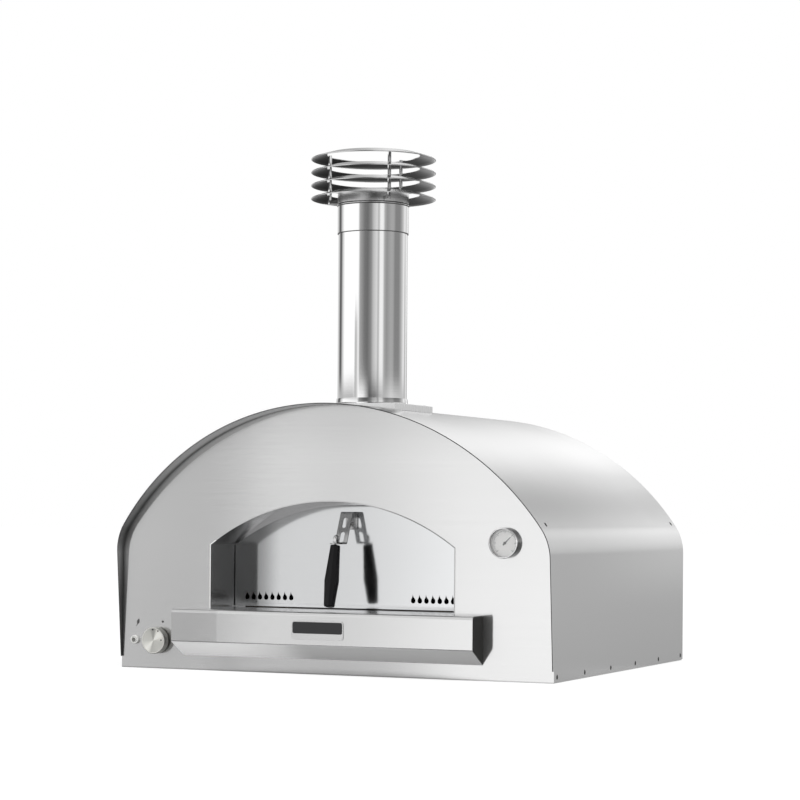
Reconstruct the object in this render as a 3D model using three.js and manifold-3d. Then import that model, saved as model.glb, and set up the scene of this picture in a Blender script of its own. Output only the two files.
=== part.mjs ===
// Arched countertop gas pizza oven with a lift-out door and a lift-off flue.
// Millimetres. +X is the oven's right, +Y its back, +Z up. The origin is on the underside of the
// base tray, midway between the front and rear panels.
import * as THREE from 'three';
import { mergeVertices } from 'three/addons/utils/BufferGeometryUtils.js';
import Module from 'manifold-3d';

const wasm = await Module();
wasm.setup();

// Body
const bodyWidth = 1000;
const bodyDepth = 860;
const crownHeight = 566;
const springHeight = 250;
const shoulderRadius = 110;
const shellSheet = 2;
const shellLift = 2.6;
const visorReach = 4;
const visorLeanShare = 0.08;

// Panels and tray
const panelSheet = 2;
const flangeDepth = 25;
const trayFlange = 24;
const seatGap = 0.3;
const overrun = 20;

// Screw of the handle bracket
const screwHead = 9;
const screwHeadHeight = 2.4;
const screwShank = 4;
const screwLength = 8;

// Insulation, chamber and hearth
const insulationDepth = 90;
const chamberSheet = 2;
const rearInsulation = 130;
const chamberSpring = 262;
const chamberCorner = 80;
const boardThickness = 100;
const boardMargin = 24;
const hearthThickness = 30;
const tileGap = 1.5;
const vaultFoot = 18;

// Mouth
const mouthMargin = 218;
const mouthSpring = 268;
const mouthApex = 361;
const soffitRise = 27;
const surroundSheet = 2;
const surroundProud = 1;
const surroundDrop = 24;
const doorRecess = 108;
const sillSheet = 2;
const doorOverlap = 18;

// Door and its handle
const doorThickness = 14;
const doorSheet = 2;
const doorClearance = 1.5;
const doorHeadroom = 4;
const ventHeight = 18;
const ventWidth = 10;
const ventPitch = 15.2;
const ventCount = 8;
const ventInset = 32;
const ventRise = 15;
// Four curves from the foot of a flame up its belly to the tip and down its hollow side: points as
// shares of half the width and of the height.
const flameShares = [
  [[0, 0], [1.3, 0], [1.3, 0.42], [0.6, 0.55]],
  [[0.6, 0.55], [0.25, 0.67], [0, 0.8], [-0.1, 1]],
  [[-0.1, 1], [-0.15, 0.8], [-0.35, 0.62], [-0.7, 0.5]],
  [[-0.7, 0.5], [-1.3, 0.3], [-1.1, 0], [0, 0]],
];
const bracketWidth = 28;
const bracketSheet = 2;
const bracketTop = 208;
const bracketTab = 38;
const bracketStandoff = 25;
const bracketDrop = 66;
const bracketReach = 55;
const bracketFlange = 38;
const bracketSlotWidth = 10;
const bracketSlotLength = 24;
const tabScrewShare = 0.7;
const slotShares = [0.28, 0.74];
const gripLength = 134;
const gripTopRadius = 10.5;
const gripWideRadius = 16.5;
const gripEndRadius = 11;
const gripLean = 30;
const gripPlace = 80;
const gripBolt = 6;
const gripBoltDepth = 30;
const gripWideShare = 0.58;
const gripRoundShare = 0.94;
const capNutRadius = 8;
const capNutHeight = 16;
const nutDomeShare = 0.7;
const nutCrownShare = 0.85;

// Shelf and name plate
const shelfOverlap = 64;
const shelfReach = 55;
const shelfFace = 70;
const shelfChamferDrop = 31;
const shelfSheet = 2;
const shelfEdgeRadius = 8;
const capThickness = 4;
const plateWidth = 119;
const plateHeight = 39;
const plateThickness = 1;
const plateDrop = 18;

// Thermometer
const gaugeRadius = 31.5;
const gaugeProud = 14.5;
const gaugeWallOffset = 9.9;
const gaugeHeight = 280;
const gaugeWall = 1.5;
const gaugeLip = 3;
const lensThickness = 2;
const dialThickness = 0.8;
const needleThickness = 0.8;
const needleLength = 17;
const needleTurn = Math.PI / 4;
const stemRadius = 4;
const stemReach = 60;

// Gas train
const knobRadius = 28.5;
const knobDepth = 17;
const knobEdge = 1.5;
const knobWall = 3;
const knobBoss = 8;
const knobGap = 5;
const knobInset = 90;
const knobHeight = 61;
const knobPush = 4;
const spindleRadius = 4;
const valveWidth = 44;
const valveHeight = 40;
const valveDepth = 46;
const valveNeck = 9;
const pipeRadius = 5;
const supplyReach = 30;
const inletRadius = 11;
const inletBore = 5;
const inletReach = 28;
const burnerRadius = 16;
const burnerWall = 1.5;
const burnerEndGap = 117;
const burnerRise = 26;
const burnerNose = 34;
const burnerPortCount = 18;
const burnerPort = 4;
const igniterInset = 34;
const igniterRadius = 9.5;
const collarProud = 7;
const buttonRadius = 6;
const buttonProud = 8;
const buttonPush = 5;
const piezoRadius = 9;
const piezoLength = 52;
const leadRadius = 1.6;
const electrodeRadius = 4;
const electrodeLength = 56;

// Flue and cowl
const flueRadius = 75;
const flueSheet = 1.5;
const flueSetback = 204;
const basePlateWidth = 200;
const basePlateRise = 6;
const spigotRise = 45;
const spigotDrop = 6;
const collarWidth = 3.5;
const collarHeight = 13;
const flueLength = 429;
const sleeveLap = 60;
const sleeveRise = 30;
const sleeveSheet = 1.7;
const beadRadius = 1.5;
const ringCount = 4;
const ringRadius = 135;
const ringInner = 100.3;
const ringRise = 11;
const ringSheet = 1.5;
const ringPitch = 28.5;
const ringStart = 15;
const postRadius = 4;
const postCount = 3;
const postTurn = -44.4;

// Faceting
const shoulderSteps = 8;
const crownSteps = 40;
const roundSteps = 36;
const smallSteps = 12;
const tinySteps = 8;
const gripSides = 10;
const bendSteps = 4;
const ventSteps = 2;
const supplySteps = 28;
const feedSteps = 18;

// Places worked out from the sizes above
const bodyHalf = bodyWidth / 2;
const frontY = -bodyDepth / 2;
const rearY = bodyDepth / 2;
const traySheet = panelSheet;
const boardBottom = traySheet + seatGap;
const boardTop = boardBottom + boardThickness;
const hearthBottom = boardTop + seatGap;
const hearthTop = hearthBottom + hearthThickness;
const chamberOuter = bodyHalf - shellSheet - insulationDepth;
const chamberInner = chamberOuter - chamberSheet;
const chamberCrown = crownHeight - shellSheet - insulationDepth - seatGap;
const wallFrontY = frontY + doorRecess + doorThickness + seatGap;
const chamberFrontY = wallFrontY + chamberSheet + seatGap;
const chamberRearY = rearY - panelSheet - rearInsulation - chamberSheet - seatGap * 3;
const chamberLength = chamberRearY - chamberFrontY;
const doorFrontY = frontY + doorRecess;
const flueY = frontY + flueSetback;
const plateTop = crownHeight + basePlateRise;
const flueBottom = plateTop + seatGap;
const flueTop = flueBottom + flueLength;
const mouthHalf = bodyHalf - mouthMargin;
const flangeInset = shellSheet + seatGap;
const innerInset = flangeInset + panelSheet + seatGap;
const gaugePlace = chamberReach(gaugeHeight) - gaugeWallOffset;
const burnerPlace = (mouthHalf + chamberInner) / 2;
const knobPlace = bodyHalf - knobInset;
const igniterPlace = bodyHalf - igniterInset;
const burnerHeight = hearthTop + burnerRise;

// Geometry helpers
function toSolid(geometry) {
  const bare = geometry.clone();
  bare.deleteAttribute('normal');
  bare.deleteAttribute('uv');
  const merged = mergeVertices(bare);
  return new wasm.Manifold(new wasm.Mesh({
    numProp: 3,
    vertProperties: new Float32Array(merged.attributes.position.array),
    triVerts: new Uint32Array(merged.index.array),
  }));
}

function toGeometry(solid) {
  const mesh = solid.getMesh();
  const geometry = new THREE.BufferGeometry();
  geometry.setAttribute('position', new THREE.BufferAttribute(mesh.vertProperties, 3));
  geometry.setIndex(new THREE.BufferAttribute(mesh.triVerts, 1));
  geometry.computeVertexNormals();
  return geometry;
}

function cut(geometry, tools) {
  return toGeometry(tools.reduce((solid, tool) => solid.subtract(toSolid(tool)), toSolid(geometry)));
}

function join(geometries) {
  return toGeometry(geometries.map(toSolid).reduce((whole, solid) => whole.add(solid)));
}

// A box given by its low and high corners.
function block(x0, x1, y0, y1, z0, z1) {
  const geometry = new THREE.BoxGeometry(x1 - x0, y1 - y0, z1 - z0);
  return geometry.translate((x0 + x1) / 2, (y0 + y1) / 2, (z0 + z1) / 2);
}

// An outline in X and Z, carried from y0 back to y1.
function plate(outline, y0, y1, holes = []) {
  const shape = new THREE.Shape(outline);
  shape.holes = holes.map((hole) => new THREE.Path(hole));
  const geometry = new THREE.ExtrudeGeometry(shape, { depth: y1 - y0, bevelEnabled: false, steps: 1 });
  return geometry.rotateX(Math.PI / 2).translate(0, y1, 0);
}

// An outline in Y and Z, carried from x0 to x1.
function slab(outline, x0, x1) {
  const shape = new THREE.Shape(outline);
  const geometry = new THREE.ExtrudeGeometry(shape, { depth: x1 - x0, bevelEnabled: false, steps: 1 });
  return geometry.rotateX(Math.PI / 2).rotateZ(Math.PI / 2).translate(x0, 0, 0);
}

// A turned piece about the vertical, from a profile of radii and heights.
function turned(profile, steps = roundSteps) {
  return new THREE.LatheGeometry(profile, steps).rotateX(Math.PI / 2);
}

// A turned piece about the depth axis: the profile's heights run from front to back.
function turnedAlongY(profile, steps = roundSteps) {
  return new THREE.LatheGeometry(profile, steps);
}

// A round bar from front to back.
function barAlongY(radius, x, z, y0, y1, steps = smallSteps) {
  return new THREE.CylinderGeometry(radius, radius, y1 - y0, steps).translate(x, (y0 + y1) / 2, z);
}

// A round bar from low to high.
function barAlongZ(radius, x, y, z0, z1, steps = smallSteps) {
  return new THREE.CylinderGeometry(radius, radius, z1 - z0, steps).rotateX(Math.PI / 2)
    .translate(x, y, (z0 + z1) / 2);
}

// A tube wall as a closed profile of radii and heights.
function tubeProfile(inner, outer, low, high) {
  return [point(inner, low), point(outer, low), point(outer, high), point(inner, high), point(inner, low)];
}

function point(a, b) {
  return new THREE.Vector2(a, b);
}

// A bent rod or wire along a smooth path.
function rod(points, radius, steps, sides = tinySteps) {
  const section = new THREE.Shape(new THREE.Path().absarc(0, 0, radius, 0, Math.PI * 2).getPoints(sides));
  const path = new THREE.CatmullRomCurve3(points, false, 'centripetal');
  return new THREE.ExtrudeGeometry(section, { steps, bevelEnabled: false, extrudePath: path });
}

// The large arc over a basket-handle arch: its radius, the height of its centre, the angle at which
// the shoulder arc runs into it, and how far out the shoulder's centre is.
function crownArc({ half, spring, corner, crown }) {
  const reach = half - corner;
  const rise = spring - crown;
  const large = (corner ** 2 - reach ** 2 - rise ** 2) / (2 * (rise + corner));
  const centre = crown - large;
  return { reach, large, centre, tangent: Math.atan2(spring - centre, reach) };
}

// The basket-handle arch: straight sides, a small shoulder arc and one large crown arc.
// Points run from the right foot over the crown to the left foot.
function archPoints({ half, spring, corner, crown, foot }) {
  const { reach, large, centre, tangent } = crownArc({ half, spring, corner, crown });
  const points = [point(half, foot)];
  for (let step = 0; step < shoulderSteps; step += 1) {
    const angle = (tangent * step) / shoulderSteps;
    points.push(point(reach + corner * Math.cos(angle), spring + corner * Math.sin(angle)));
  }
  for (let step = 0; step <= crownSteps; step += 1) {
    const angle = tangent + ((Math.PI - 2 * tangent) * step) / crownSteps;
    points.push(point(large * Math.cos(angle), centre + large * Math.sin(angle)));
  }
  for (let step = shoulderSteps - 1; step >= 0; step -= 1) {
    const angle = (tangent * step) / shoulderSteps;
    points.push(point(-reach - corner * Math.cos(angle), spring + corner * Math.sin(angle)));
  }
  points.push(point(-half, foot));
  return points;
}

// The body's arch, moved inwards by an inset.
function bodyLine(inset) {
  return {
    half: bodyHalf - inset,
    spring: springHeight,
    corner: shoulderRadius - inset,
    crown: crownHeight - inset,
  };
}

function bodyArch(inset, foot) {
  return archPoints({ ...bodyLine(inset), foot });
}

// The chamber's arch, moved inwards from the vault's outer face.
function chamberLine(inset) {
  return {
    half: chamberOuter - inset,
    spring: chamberSpring,
    corner: chamberCorner - inset,
    crown: chamberCrown - inset,
  };
}

function chamberArch(inset, foot) {
  return archPoints({ ...chamberLine(inset), foot });
}

// How far out the chamber's inner face is at a height.
function chamberReach(height) {
  const { reach, large, centre, tangent } = crownArc(chamberLine(chamberSheet));
  const corner = chamberCorner - chamberSheet;
  const above = Math.max(height - chamberSpring, 0);
  if (above < corner * Math.sin(tangent)) {
    return reach + Math.sqrt(corner ** 2 - above ** 2);
  }
  return Math.sqrt(large ** 2 - (height - centre) ** 2);
}

// The mouth's outline: straight jambs and one arc from jamb to jamb, all moved outwards by grow.
function mouthPoints({ apex, grow, foot }) {
  const rise = apex - mouthSpring;
  const radius = (mouthHalf ** 2 + rise ** 2) / (2 * rise);
  const centre = apex - radius;
  const start = Math.acos((mouthHalf + grow) / (radius + grow));
  const points = [point(mouthHalf + grow, foot)];
  for (let step = 0; step <= crownSteps; step += 1) {
    const angle = start + ((Math.PI - 2 * start) * step) / crownSteps;
    points.push(point((radius + grow) * Math.cos(angle), centre + (radius + grow) * Math.sin(angle)));
  }
  points.push(point(-mouthHalf - grow, foot));
  return points;
}

// A wall between an outer and an inner line, as one closed outline.
function band(outer, inner) {
  return [...outer, ...inner.slice().reverse()];
}

// A closed skin between two outlines with as many points, one in front of the other.
function loft(front, back) {
  const count = front.length;
  const caps = THREE.ShapeUtils.triangulateShape(front.map((p) => point(p.x, p.z)), []);
  const positions = [...front, ...back].flatMap((p) => [p.x, p.y, p.z]);
  const index = [];
  for (let i = 0; i < count; i += 1) {
    const next = (i + 1) % count;
    index.push(i, i + count, next, next, i + count, next + count);
  }
  caps.forEach(([a, b, c]) => {
    index.push(a, b, c);
    index.push(a + count, c + count, b + count);
  });
  const geometry = new THREE.BufferGeometry();
  geometry.setAttribute('position', new THREE.Float32BufferAttribute(positions, 3));
  geometry.setIndex(index);
  return geometry;
}

function at(points, y) {
  return points.map((p) => new THREE.Vector3(p.x, typeof y === 'function' ? y(p.y) : y, p.y));
}

// Materials
const steel = () => new THREE.MeshStandardMaterial({ color: 0xc9cbcc, roughness: 0.35, metalness: 1 });
const mirror = () => new THREE.MeshStandardMaterial({ color: 0xd8d9da, roughness: 0.12, metalness: 1 });
const darkSteel = () => new THREE.MeshStandardMaterial({ color: 0x6f706f, roughness: 0.45, metalness: 1 });
const black = () => new THREE.MeshStandardMaterial({ color: 0x1c1d1f, roughness: 0.5, metalness: 0 });
const fibre = () => new THREE.MeshStandardMaterial({ color: 0xe9e4d8, roughness: 0.95, metalness: 0 });
const stone = () => new THREE.MeshStandardMaterial({ color: 0xcbb79b, roughness: 0.9, metalness: 0 });
const brass = () => new THREE.MeshStandardMaterial({ color: 0xc4a15a, roughness: 0.35, metalness: 1 });
const paper = () => new THREE.MeshStandardMaterial({ color: 0xdfe3de, roughness: 0.7, metalness: 0 });
const ceramic = () => new THREE.MeshStandardMaterial({ color: 0xf0eee8, roughness: 0.4, metalness: 0 });
const glass = () => new THREE.MeshStandardMaterial({
  color: 0xf4f8f8,
  roughness: 0.05,
  metalness: 0,
  transparent: true,
  opacity: 0.35,
});

const oven = new THREE.Group();

function add(name, geometry, material) {
  const mesh = new THREE.Mesh(geometry, material());
  mesh.name = name;
  oven.add(mesh);
  return mesh;
}

// Casing
function outerShell() {
  const ring = band(bodyArch(0, shellLift), bodyArch(shellSheet, shellLift));
  const visor = (height) => frontY - visorReach - visorLeanShare * height;
  const skin = loft(at(ring, visor), at(ring, rearY));
  const foot = block(
    -bodyHalf - overrun,
    bodyHalf + overrun,
    frontY - visorReach - overrun,
    frontY + panelSheet + seatGap,
    -overrun,
    trayFlange + seatGap,
  );
  const flueHole = barAlongZ(flueRadius, 0, flueY, crownHeight - overrun, crownHeight + overrun, roundSteps);
  return cut(skin, [foot, flueHole]);
}

// A folded panel: a flat face with a flange all round its arch.
function panelFlange(y0, y1) {
  const low = trayFlange + panelSheet + seatGap;
  return plate(band(bodyArch(flangeInset, low), bodyArch(flangeInset + panelSheet, low)), y0, y1);
}

function frontPanel() {
  const top = bodyArch(flangeInset, trayFlange);
  const outline = [point(-bodyHalf, trayFlange), point(-bodyHalf, 0), point(bodyHalf, 0),
    point(bodyHalf, trayFlange), ...top];
  const face = plate(outline, frontY, frontY + panelSheet);
  const opening = mouthTunnel(surroundSheet + seatGap, frontY - overrun, frontY + overrun);
  const holes = [
    barAlongY(stemRadius + seatGap, gaugePlace, gaugeHeight, frontY - overrun, frontY + overrun),
    barAlongY(valveNeck + seatGap, -knobPlace, knobHeight, frontY - overrun, frontY + overrun),
    barAlongY(piezoRadius + seatGap, -igniterPlace, knobHeight, frontY - overrun, frontY + overrun),
  ];
  const whole = join([face, panelFlange(frontY + panelSheet / 2, frontY + panelSheet + flangeDepth)]);
  return cut(whole, [opening, ...holes]);
}

function rearPanel() {
  const low = trayFlange + panelSheet + seatGap;
  const face = plate(bodyArch(flangeInset, low), rearY - panelSheet, rearY);
  const whole = join([face, panelFlange(rearY - panelSheet - flangeDepth, rearY - panelSheet / 2)]);
  const holeRadius = inletRadius + seatGap;
  return cut(whole, [barAlongY(holeRadius, -supplyPlace(), knobHeight, rearY - overrun, rearY + overrun)]);
}

function baseTray() {
  const half = bodyHalf - flangeInset;
  const front = frontY + panelSheet + seatGap;
  const back = rearY;
  const outer = block(-half, half, front, back, 0, traySheet + trayFlange);
  const inner = block(
    -half + traySheet,
    half - traySheet,
    front + traySheet,
    back - traySheet,
    traySheet,
    traySheet + trayFlange + overrun,
  );
  return cut(outer, [inner]);
}

function casing() {
  add('outer_shell', outerShell(), steel);
  add('front_panel', frontPanel(), steel);
  add('rear_panel', rearPanel(), steel);
  add('base_tray', baseTray(), steel);
}

// Insulation and baking chamber
function floorBoard() {
  const half = chamberOuter + boardMargin;
  const back = rearY - traySheet - seatGap;
  return block(-half, half, wallFrontY, back, boardBottom, boardTop);
}

function chamberVault() {
  const foot = chamberOuter + vaultFoot;
  const outer = chamberArch(0, hearthBottom + chamberSheet);
  const inner = chamberArch(chamberSheet, hearthBottom);
  const outline = [
    point(foot, hearthBottom),
    point(foot, hearthBottom + chamberSheet),
    ...outer,
    point(-foot, hearthBottom + chamberSheet),
    point(-foot, hearthBottom),
    ...inner.slice().reverse(),
  ];
  const skin = plate(outline, chamberFrontY, chamberRearY);
  return cut(skin, [spigotClearance()]);
}

// The upright way that the flue spigot takes through the vault and the blanket.
function spigotClearance() {
  const radius = flueRadius - flueSheet;
  return barAlongZ(radius, 0, flueY, chamberCrown - insulationDepth, plateTop + overrun, roundSteps);
}

function chamberOpening(y0, y1) {
  return plate(mouthPoints({
    apex: mouthApex - doorHeadroom,
    grow: -doorClearance - doorOverlap,
    foot: boardBottom,
  }), y0, y1);
}

function chamberFrontWall() {
  const wall = plate(chamberArch(0, hearthBottom), wallFrontY, wallFrontY + chamberSheet);
  const y0 = wallFrontY - overrun;
  const y1 = wallFrontY + overrun;
  return cut(wall, [
    chamberOpening(y0, y1),
    barAlongY(burnerRadius + seatGap, -burnerPlace, burnerHeight, y0, y1),
    barAlongY(stemRadius + seatGap, gaugePlace, gaugeHeight, y0, y1),
    barAlongY(electrodeRadius + seatGap, -electrodePlace(), electrodeHeight(), y0, y1),
  ]);
}

function chamberRearWall() {
  const y0 = chamberRearY + seatGap;
  return plate(chamberArch(0, hearthBottom), y0, y0 + chamberSheet);
}

function hearthTiles() {
  const half = chamberInner - seatGap;
  const width = half - tileGap / 2;
  const length = (chamberLength - tileGap) / 2;
  ['front', 'rear'].forEach((row, rowIndex) => {
    const y0 = chamberFrontY + rowIndex * (length + tileGap);
    [['left', -half], ['right', tileGap / 2]].forEach(([side, x0]) => {
      const tile = block(x0, x0 + width, y0, y0 + length, hearthBottom, hearthTop);
      add(`hearth_tile_${row}_${side}`, tile, stone);
    });
  });
}

function vaultBlanket() {
  const low = hearthBottom + chamberSheet + seatGap;
  const skin = plate(
    band(bodyArch(flangeInset, low), chamberArch(-seatGap, low)),
    wallFrontY,
    chamberRearY + chamberSheet + seatGap,
  );
  return cut(skin, [spigotClearance()]);
}

function rearBlanket() {
  const y0 = chamberRearY + chamberSheet + seatGap * 2;
  return plate(bodyArch(innerInset, boardTop + seatGap), y0, rearY - panelSheet - seatGap);
}

function frontBlanket() {
  const low = burnerHeight + burnerRadius + burnerRise;
  const body = plate(bodyArch(innerInset, low), frontY + panelSheet + seatGap, wallFrontY - seatGap);
  const outside = surroundSheet + seatGap * 2;
  const tunnel = mouthTunnel(outside, frontY - overrun, wallFrontY + overrun);
  const stemHole = barAlongY(stemRadius + seatGap, gaugePlace, gaugeHeight, frontY, wallFrontY);
  const nutBack = frontY + nutReach() + seatGap;
  const nutHole = barAlongY(nutRadius() + seatGap, gaugePlace, gaugeHeight, frontY, nutBack);
  return cut(body, [tunnel, stemHole, nutHole]);
}

function sillBoard() {
  const half = mouthHalf - seatGap;
  return block(
    -half,
    half,
    frontY + panelSheet + seatGap * 2 + traySheet,
    wallFrontY - seatGap,
    boardBottom,
    hearthTop - sillSheet - seatGap,
  );
}

function chamber() {
  add('floor_board', floorBoard(), fibre);
  hearthTiles();
  add('chamber_vault', chamberVault(), steel);
  add('chamber_front_wall', chamberFrontWall(), steel);
  add('chamber_rear_wall', chamberRearWall(), steel);
  add('vault_blanket', vaultBlanket(), fibre);
  add('rear_blanket', rearBlanket(), fibre);
  add('front_blanket', frontBlanket(), fibre);
  add('sill_board', sillBoard(), fibre);
}

// Mouth: cheeks and soffit in one folded sheet that rises towards the back
function surroundFront() {
  return frontY - surroundProud;
}

function surroundBack() {
  return wallFrontY - seatGap;
}

// The mouth's outline at one depth, moved outwards by grow.
function mouthSection(grow, y) {
  const foot = hearthTop - surroundDrop;
  const front = mouthPoints({ apex: mouthApex, grow, foot });
  const back = mouthPoints({ apex: mouthApex + soffitRise, grow, foot });
  const share = (y - surroundFront()) / (surroundBack() - surroundFront());
  return front.map((p, i) => p.clone().lerp(back[i], share));
}

// The space inside the surround's outer faces, grown by a margin.
function mouthTunnel(grow, y0, y1) {
  return loft(at(mouthSection(grow, y0), y0), at(mouthSection(grow, y1), y1));
}

function mouthSurround() {
  const ring = (y) => at(band(mouthSection(surroundSheet, y), mouthSection(0, y)), y);
  const behindShelf = block(
    -bodyHalf,
    bodyHalf,
    frontY - overrun,
    frontY,
    boardBottom,
    hearthTop + seatGap,
  );
  return cut(loft(ring(surroundFront()), ring(surroundBack())), [behindShelf]);
}

function mouthSill() {
  const half = mouthHalf - seatGap;
  return block(-half, half, frontY + seatGap, wallFrontY - seatGap, hearthTop - sillSheet, hearthTop);
}

function mouth() {
  add('mouth_surround', mouthSurround(), steel);
  add('mouth_sill', mouthSill(), steel);
}

// Door with its flame-shaped air holes and its handle
function doorOutline(inset) {
  return mouthPoints({
    apex: mouthApex - doorHeadroom,
    grow: -doorClearance - inset,
    foot: hearthTop + seatGap + inset,
  });
}

// A drop with its tip bent over to one side, drawn from its foot at the origin.
function flameOutline(lean) {
  const points = flameShares.flatMap((curveShares) => {
    const spots = curveShares.map(([across, up]) => point((ventWidth / 2) * across * lean, ventHeight * up));
    return new THREE.CubicBezierCurve(...spots).getPoints(ventSteps).slice(0, -1);
  });
  return lean < 0 ? points.reverse() : points;
}

function doorVents() {
  const vents = [];
  [-1, 1].forEach((side) => {
    for (let i = 0; i < ventCount; i += 1) {
      const vent = plate(flameOutline(-side), doorFrontY - overrun, doorFrontY + overrun);
      vents.push(vent.translate(side * (mouthHalf - ventInset - i * ventPitch), 0, hearthTop + ventRise));
    }
  });
  return vents;
}

function doorPanel() {
  const body = plate(doorOutline(0), doorFrontY, doorFrontY + doorThickness);
  const hollow = plate(doorOutline(doorSheet), doorFrontY + doorSheet, doorFrontY + doorThickness + overrun);
  return cut(body, [hollow, tabScrewWay(), ...doorVents()]);
}

function bracketTopHeight() {
  return hearthTop + bracketTop;
}

function bracketScrewHeight() {
  return bracketTopHeight() - bracketTab * tabScrewShare;
}

// The bracket's screw runs through the tab and the door's face.
function tabScrewWay() {
  const radius = screwShank / 2 + seatGap;
  return barAlongY(radius, 0, bracketScrewHeight(), doorFrontY - overrun, doorFrontY + overrun, tinySteps);
}

// The bracket's side view: a tab on the door, a short shelf, a sloping web and a foot for the grip.
function bracketOutline() {
  const y = doorFrontY - seatGap;
  const top = bracketTopHeight();
  const low = top - bracketDrop;
  const t = bracketSheet;
  return [
    point(y, top - bracketTab),
    point(y, top),
    point(y - bracketStandoff, top),
    point(y - bracketReach, low),
    point(y - bracketReach - bracketFlange, low),
    point(y - bracketReach - bracketFlange, low - t),
    point(y - bracketReach + t, low - t),
    point(y - bracketStandoff + t, top - t),
    point(y - t, top - t),
    point(y - t, top - bracketTab),
  ];
}

function doorBracket() {
  const half = bracketWidth / 2;
  const body = slab(bracketOutline(), -half, half);
  const slope = Math.atan2(bracketReach - bracketStandoff, bracketDrop);
  const slots = slotShares.map((share) => (
    new THREE.BoxGeometry(bracketSlotWidth, overrun, bracketSlotLength).rotateX(-slope).translate(
      0,
      doorFrontY - seatGap - bracketStandoff - (bracketReach - bracketStandoff) * share,
      bracketTopHeight() - bracketDrop * share,
    )
  ));
  const boltWay = leanOut(barAlongZ(gripBolt / 2 + seatGap, 0, 0, -overrun, overrun, tinySteps));
  return cut(body, [...slots, tabScrewWay(), boltWay]);
}

function gripTop() {
  return bracketTopHeight() - bracketDrop - bracketSheet;
}

function gripY() {
  return doorFrontY - gripPlace;
}

// The grip, its bolt and the hole for the bolt: they hang from the bracket's foot and lean out at
// the bottom.
function leanOut(geometry) {
  return geometry.rotateX(-Math.atan2(gripLean, gripLength)).translate(0, gripY(), gripTop() - seatGap);
}

function grip() {
  const bore = gripBolt / 2 + seatGap;
  const lean = Math.atan2(gripLean, gripLength);
  const sunk = gripTopRadius * Math.sin(lean);
  const profile = [
    point(0, -gripLength),
    point(gripEndRadius * gripRoundShare, -gripLength),
    point(gripEndRadius, -gripLength * gripRoundShare),
    point(gripWideRadius, -gripLength * gripWideShare),
    point(gripTopRadius, -sunk),
    point(bore, -sunk),
    point(bore, -gripBoltDepth - seatGap),
    point(0, -gripBoltDepth - seatGap),
  ];
  return leanOut(new THREE.LatheGeometry(profile, gripSides).rotateX(Math.PI / 2));
}

function gripBoltAndNut() {
  const bolt = gripBolt / 2;
  const seat = bracketSheet + seatGap * 2 + capNutRadius * Math.sin(Math.atan2(gripLean, gripLength));
  const profile = [
    point(0, -gripBoltDepth),
    point(bolt, -gripBoltDepth),
    point(bolt, seat),
    point(capNutRadius, seat),
    point(capNutRadius, seat + capNutHeight / 2),
    point(capNutRadius * nutDomeShare, seat + capNutHeight * nutCrownShare),
    point(0, seat + capNutHeight),
  ];
  return leanOut(new THREE.LatheGeometry(profile, tinySteps).rotateX(Math.PI / 2));
}

function bracketScrew() {
  const shank = screwShank / 2;
  const head = screwHead / 2;
  const front = -bracketSheet - seatGap * 2;
  const profile = [
    point(0, front - screwHeadHeight),
    point(head, front - screwHeadHeight / 2),
    point(head, front),
    point(shank, front),
    point(shank, screwLength),
    point(0, screwLength),
  ];
  return turnedAlongY(profile, tinySteps).translate(0, doorFrontY, bracketScrewHeight());
}

function door() {
  add('door_panel', doorPanel(), mirror);
  add('door_bracket', doorBracket(), steel);
  add('door_bracket_screw', bracketScrew(), darkSteel);
  add('door_grip', grip(), black);
  add('door_grip_bolt', gripBoltAndNut(), mirror);
}

// Shelf with its end caps and the blank name plate
function shelfOutline(inset) {
  const back = frontY - seatGap;
  const front = back - shelfReach + inset;
  const top = hearthTop - inset;
  const bend = shelfEdgeRadius - inset;
  const low = hearthTop - shelfFace;
  const slope = Math.atan2(shelfChamferDrop, shelfReach);
  const ease = inset * Math.tan((Math.PI / 2 - slope) / 2);
  const lift = inset / Math.cos(slope);
  const outline = [point(back, top)];
  for (let step = 0; step <= bendSteps; step += 1) {
    const angle = Math.PI / 2 + (Math.PI / 2) * (step / bendSteps);
    outline.push(point(front + bend + bend * Math.cos(angle), top - bend + bend * Math.sin(angle)));
  }
  outline.push(point(front, low + ease));
  outline.push(point(back, low - shelfChamferDrop + lift));
  return outline;
}

function shelf() {
  const half = mouthHalf + shelfOverlap;
  add('shelf', slab(band(shelfOutline(0), shelfOutline(shelfSheet)), -half, half), steel);
  const capLine = shelfOutline(shelfSheet + seatGap);
  add('shelf_cap_left', slab(capLine, -half, -half + capThickness), black);
  add('shelf_cap_right', slab(capLine, half - capThickness, half), black);
  const y = frontY - seatGap - shelfReach - seatGap;
  const top = hearthTop - plateDrop;
  const plateBlock = block(-plateWidth / 2, plateWidth / 2, y - plateThickness, y, top - plateHeight, top);
  add('name_plate', plateBlock, black);
}

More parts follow.
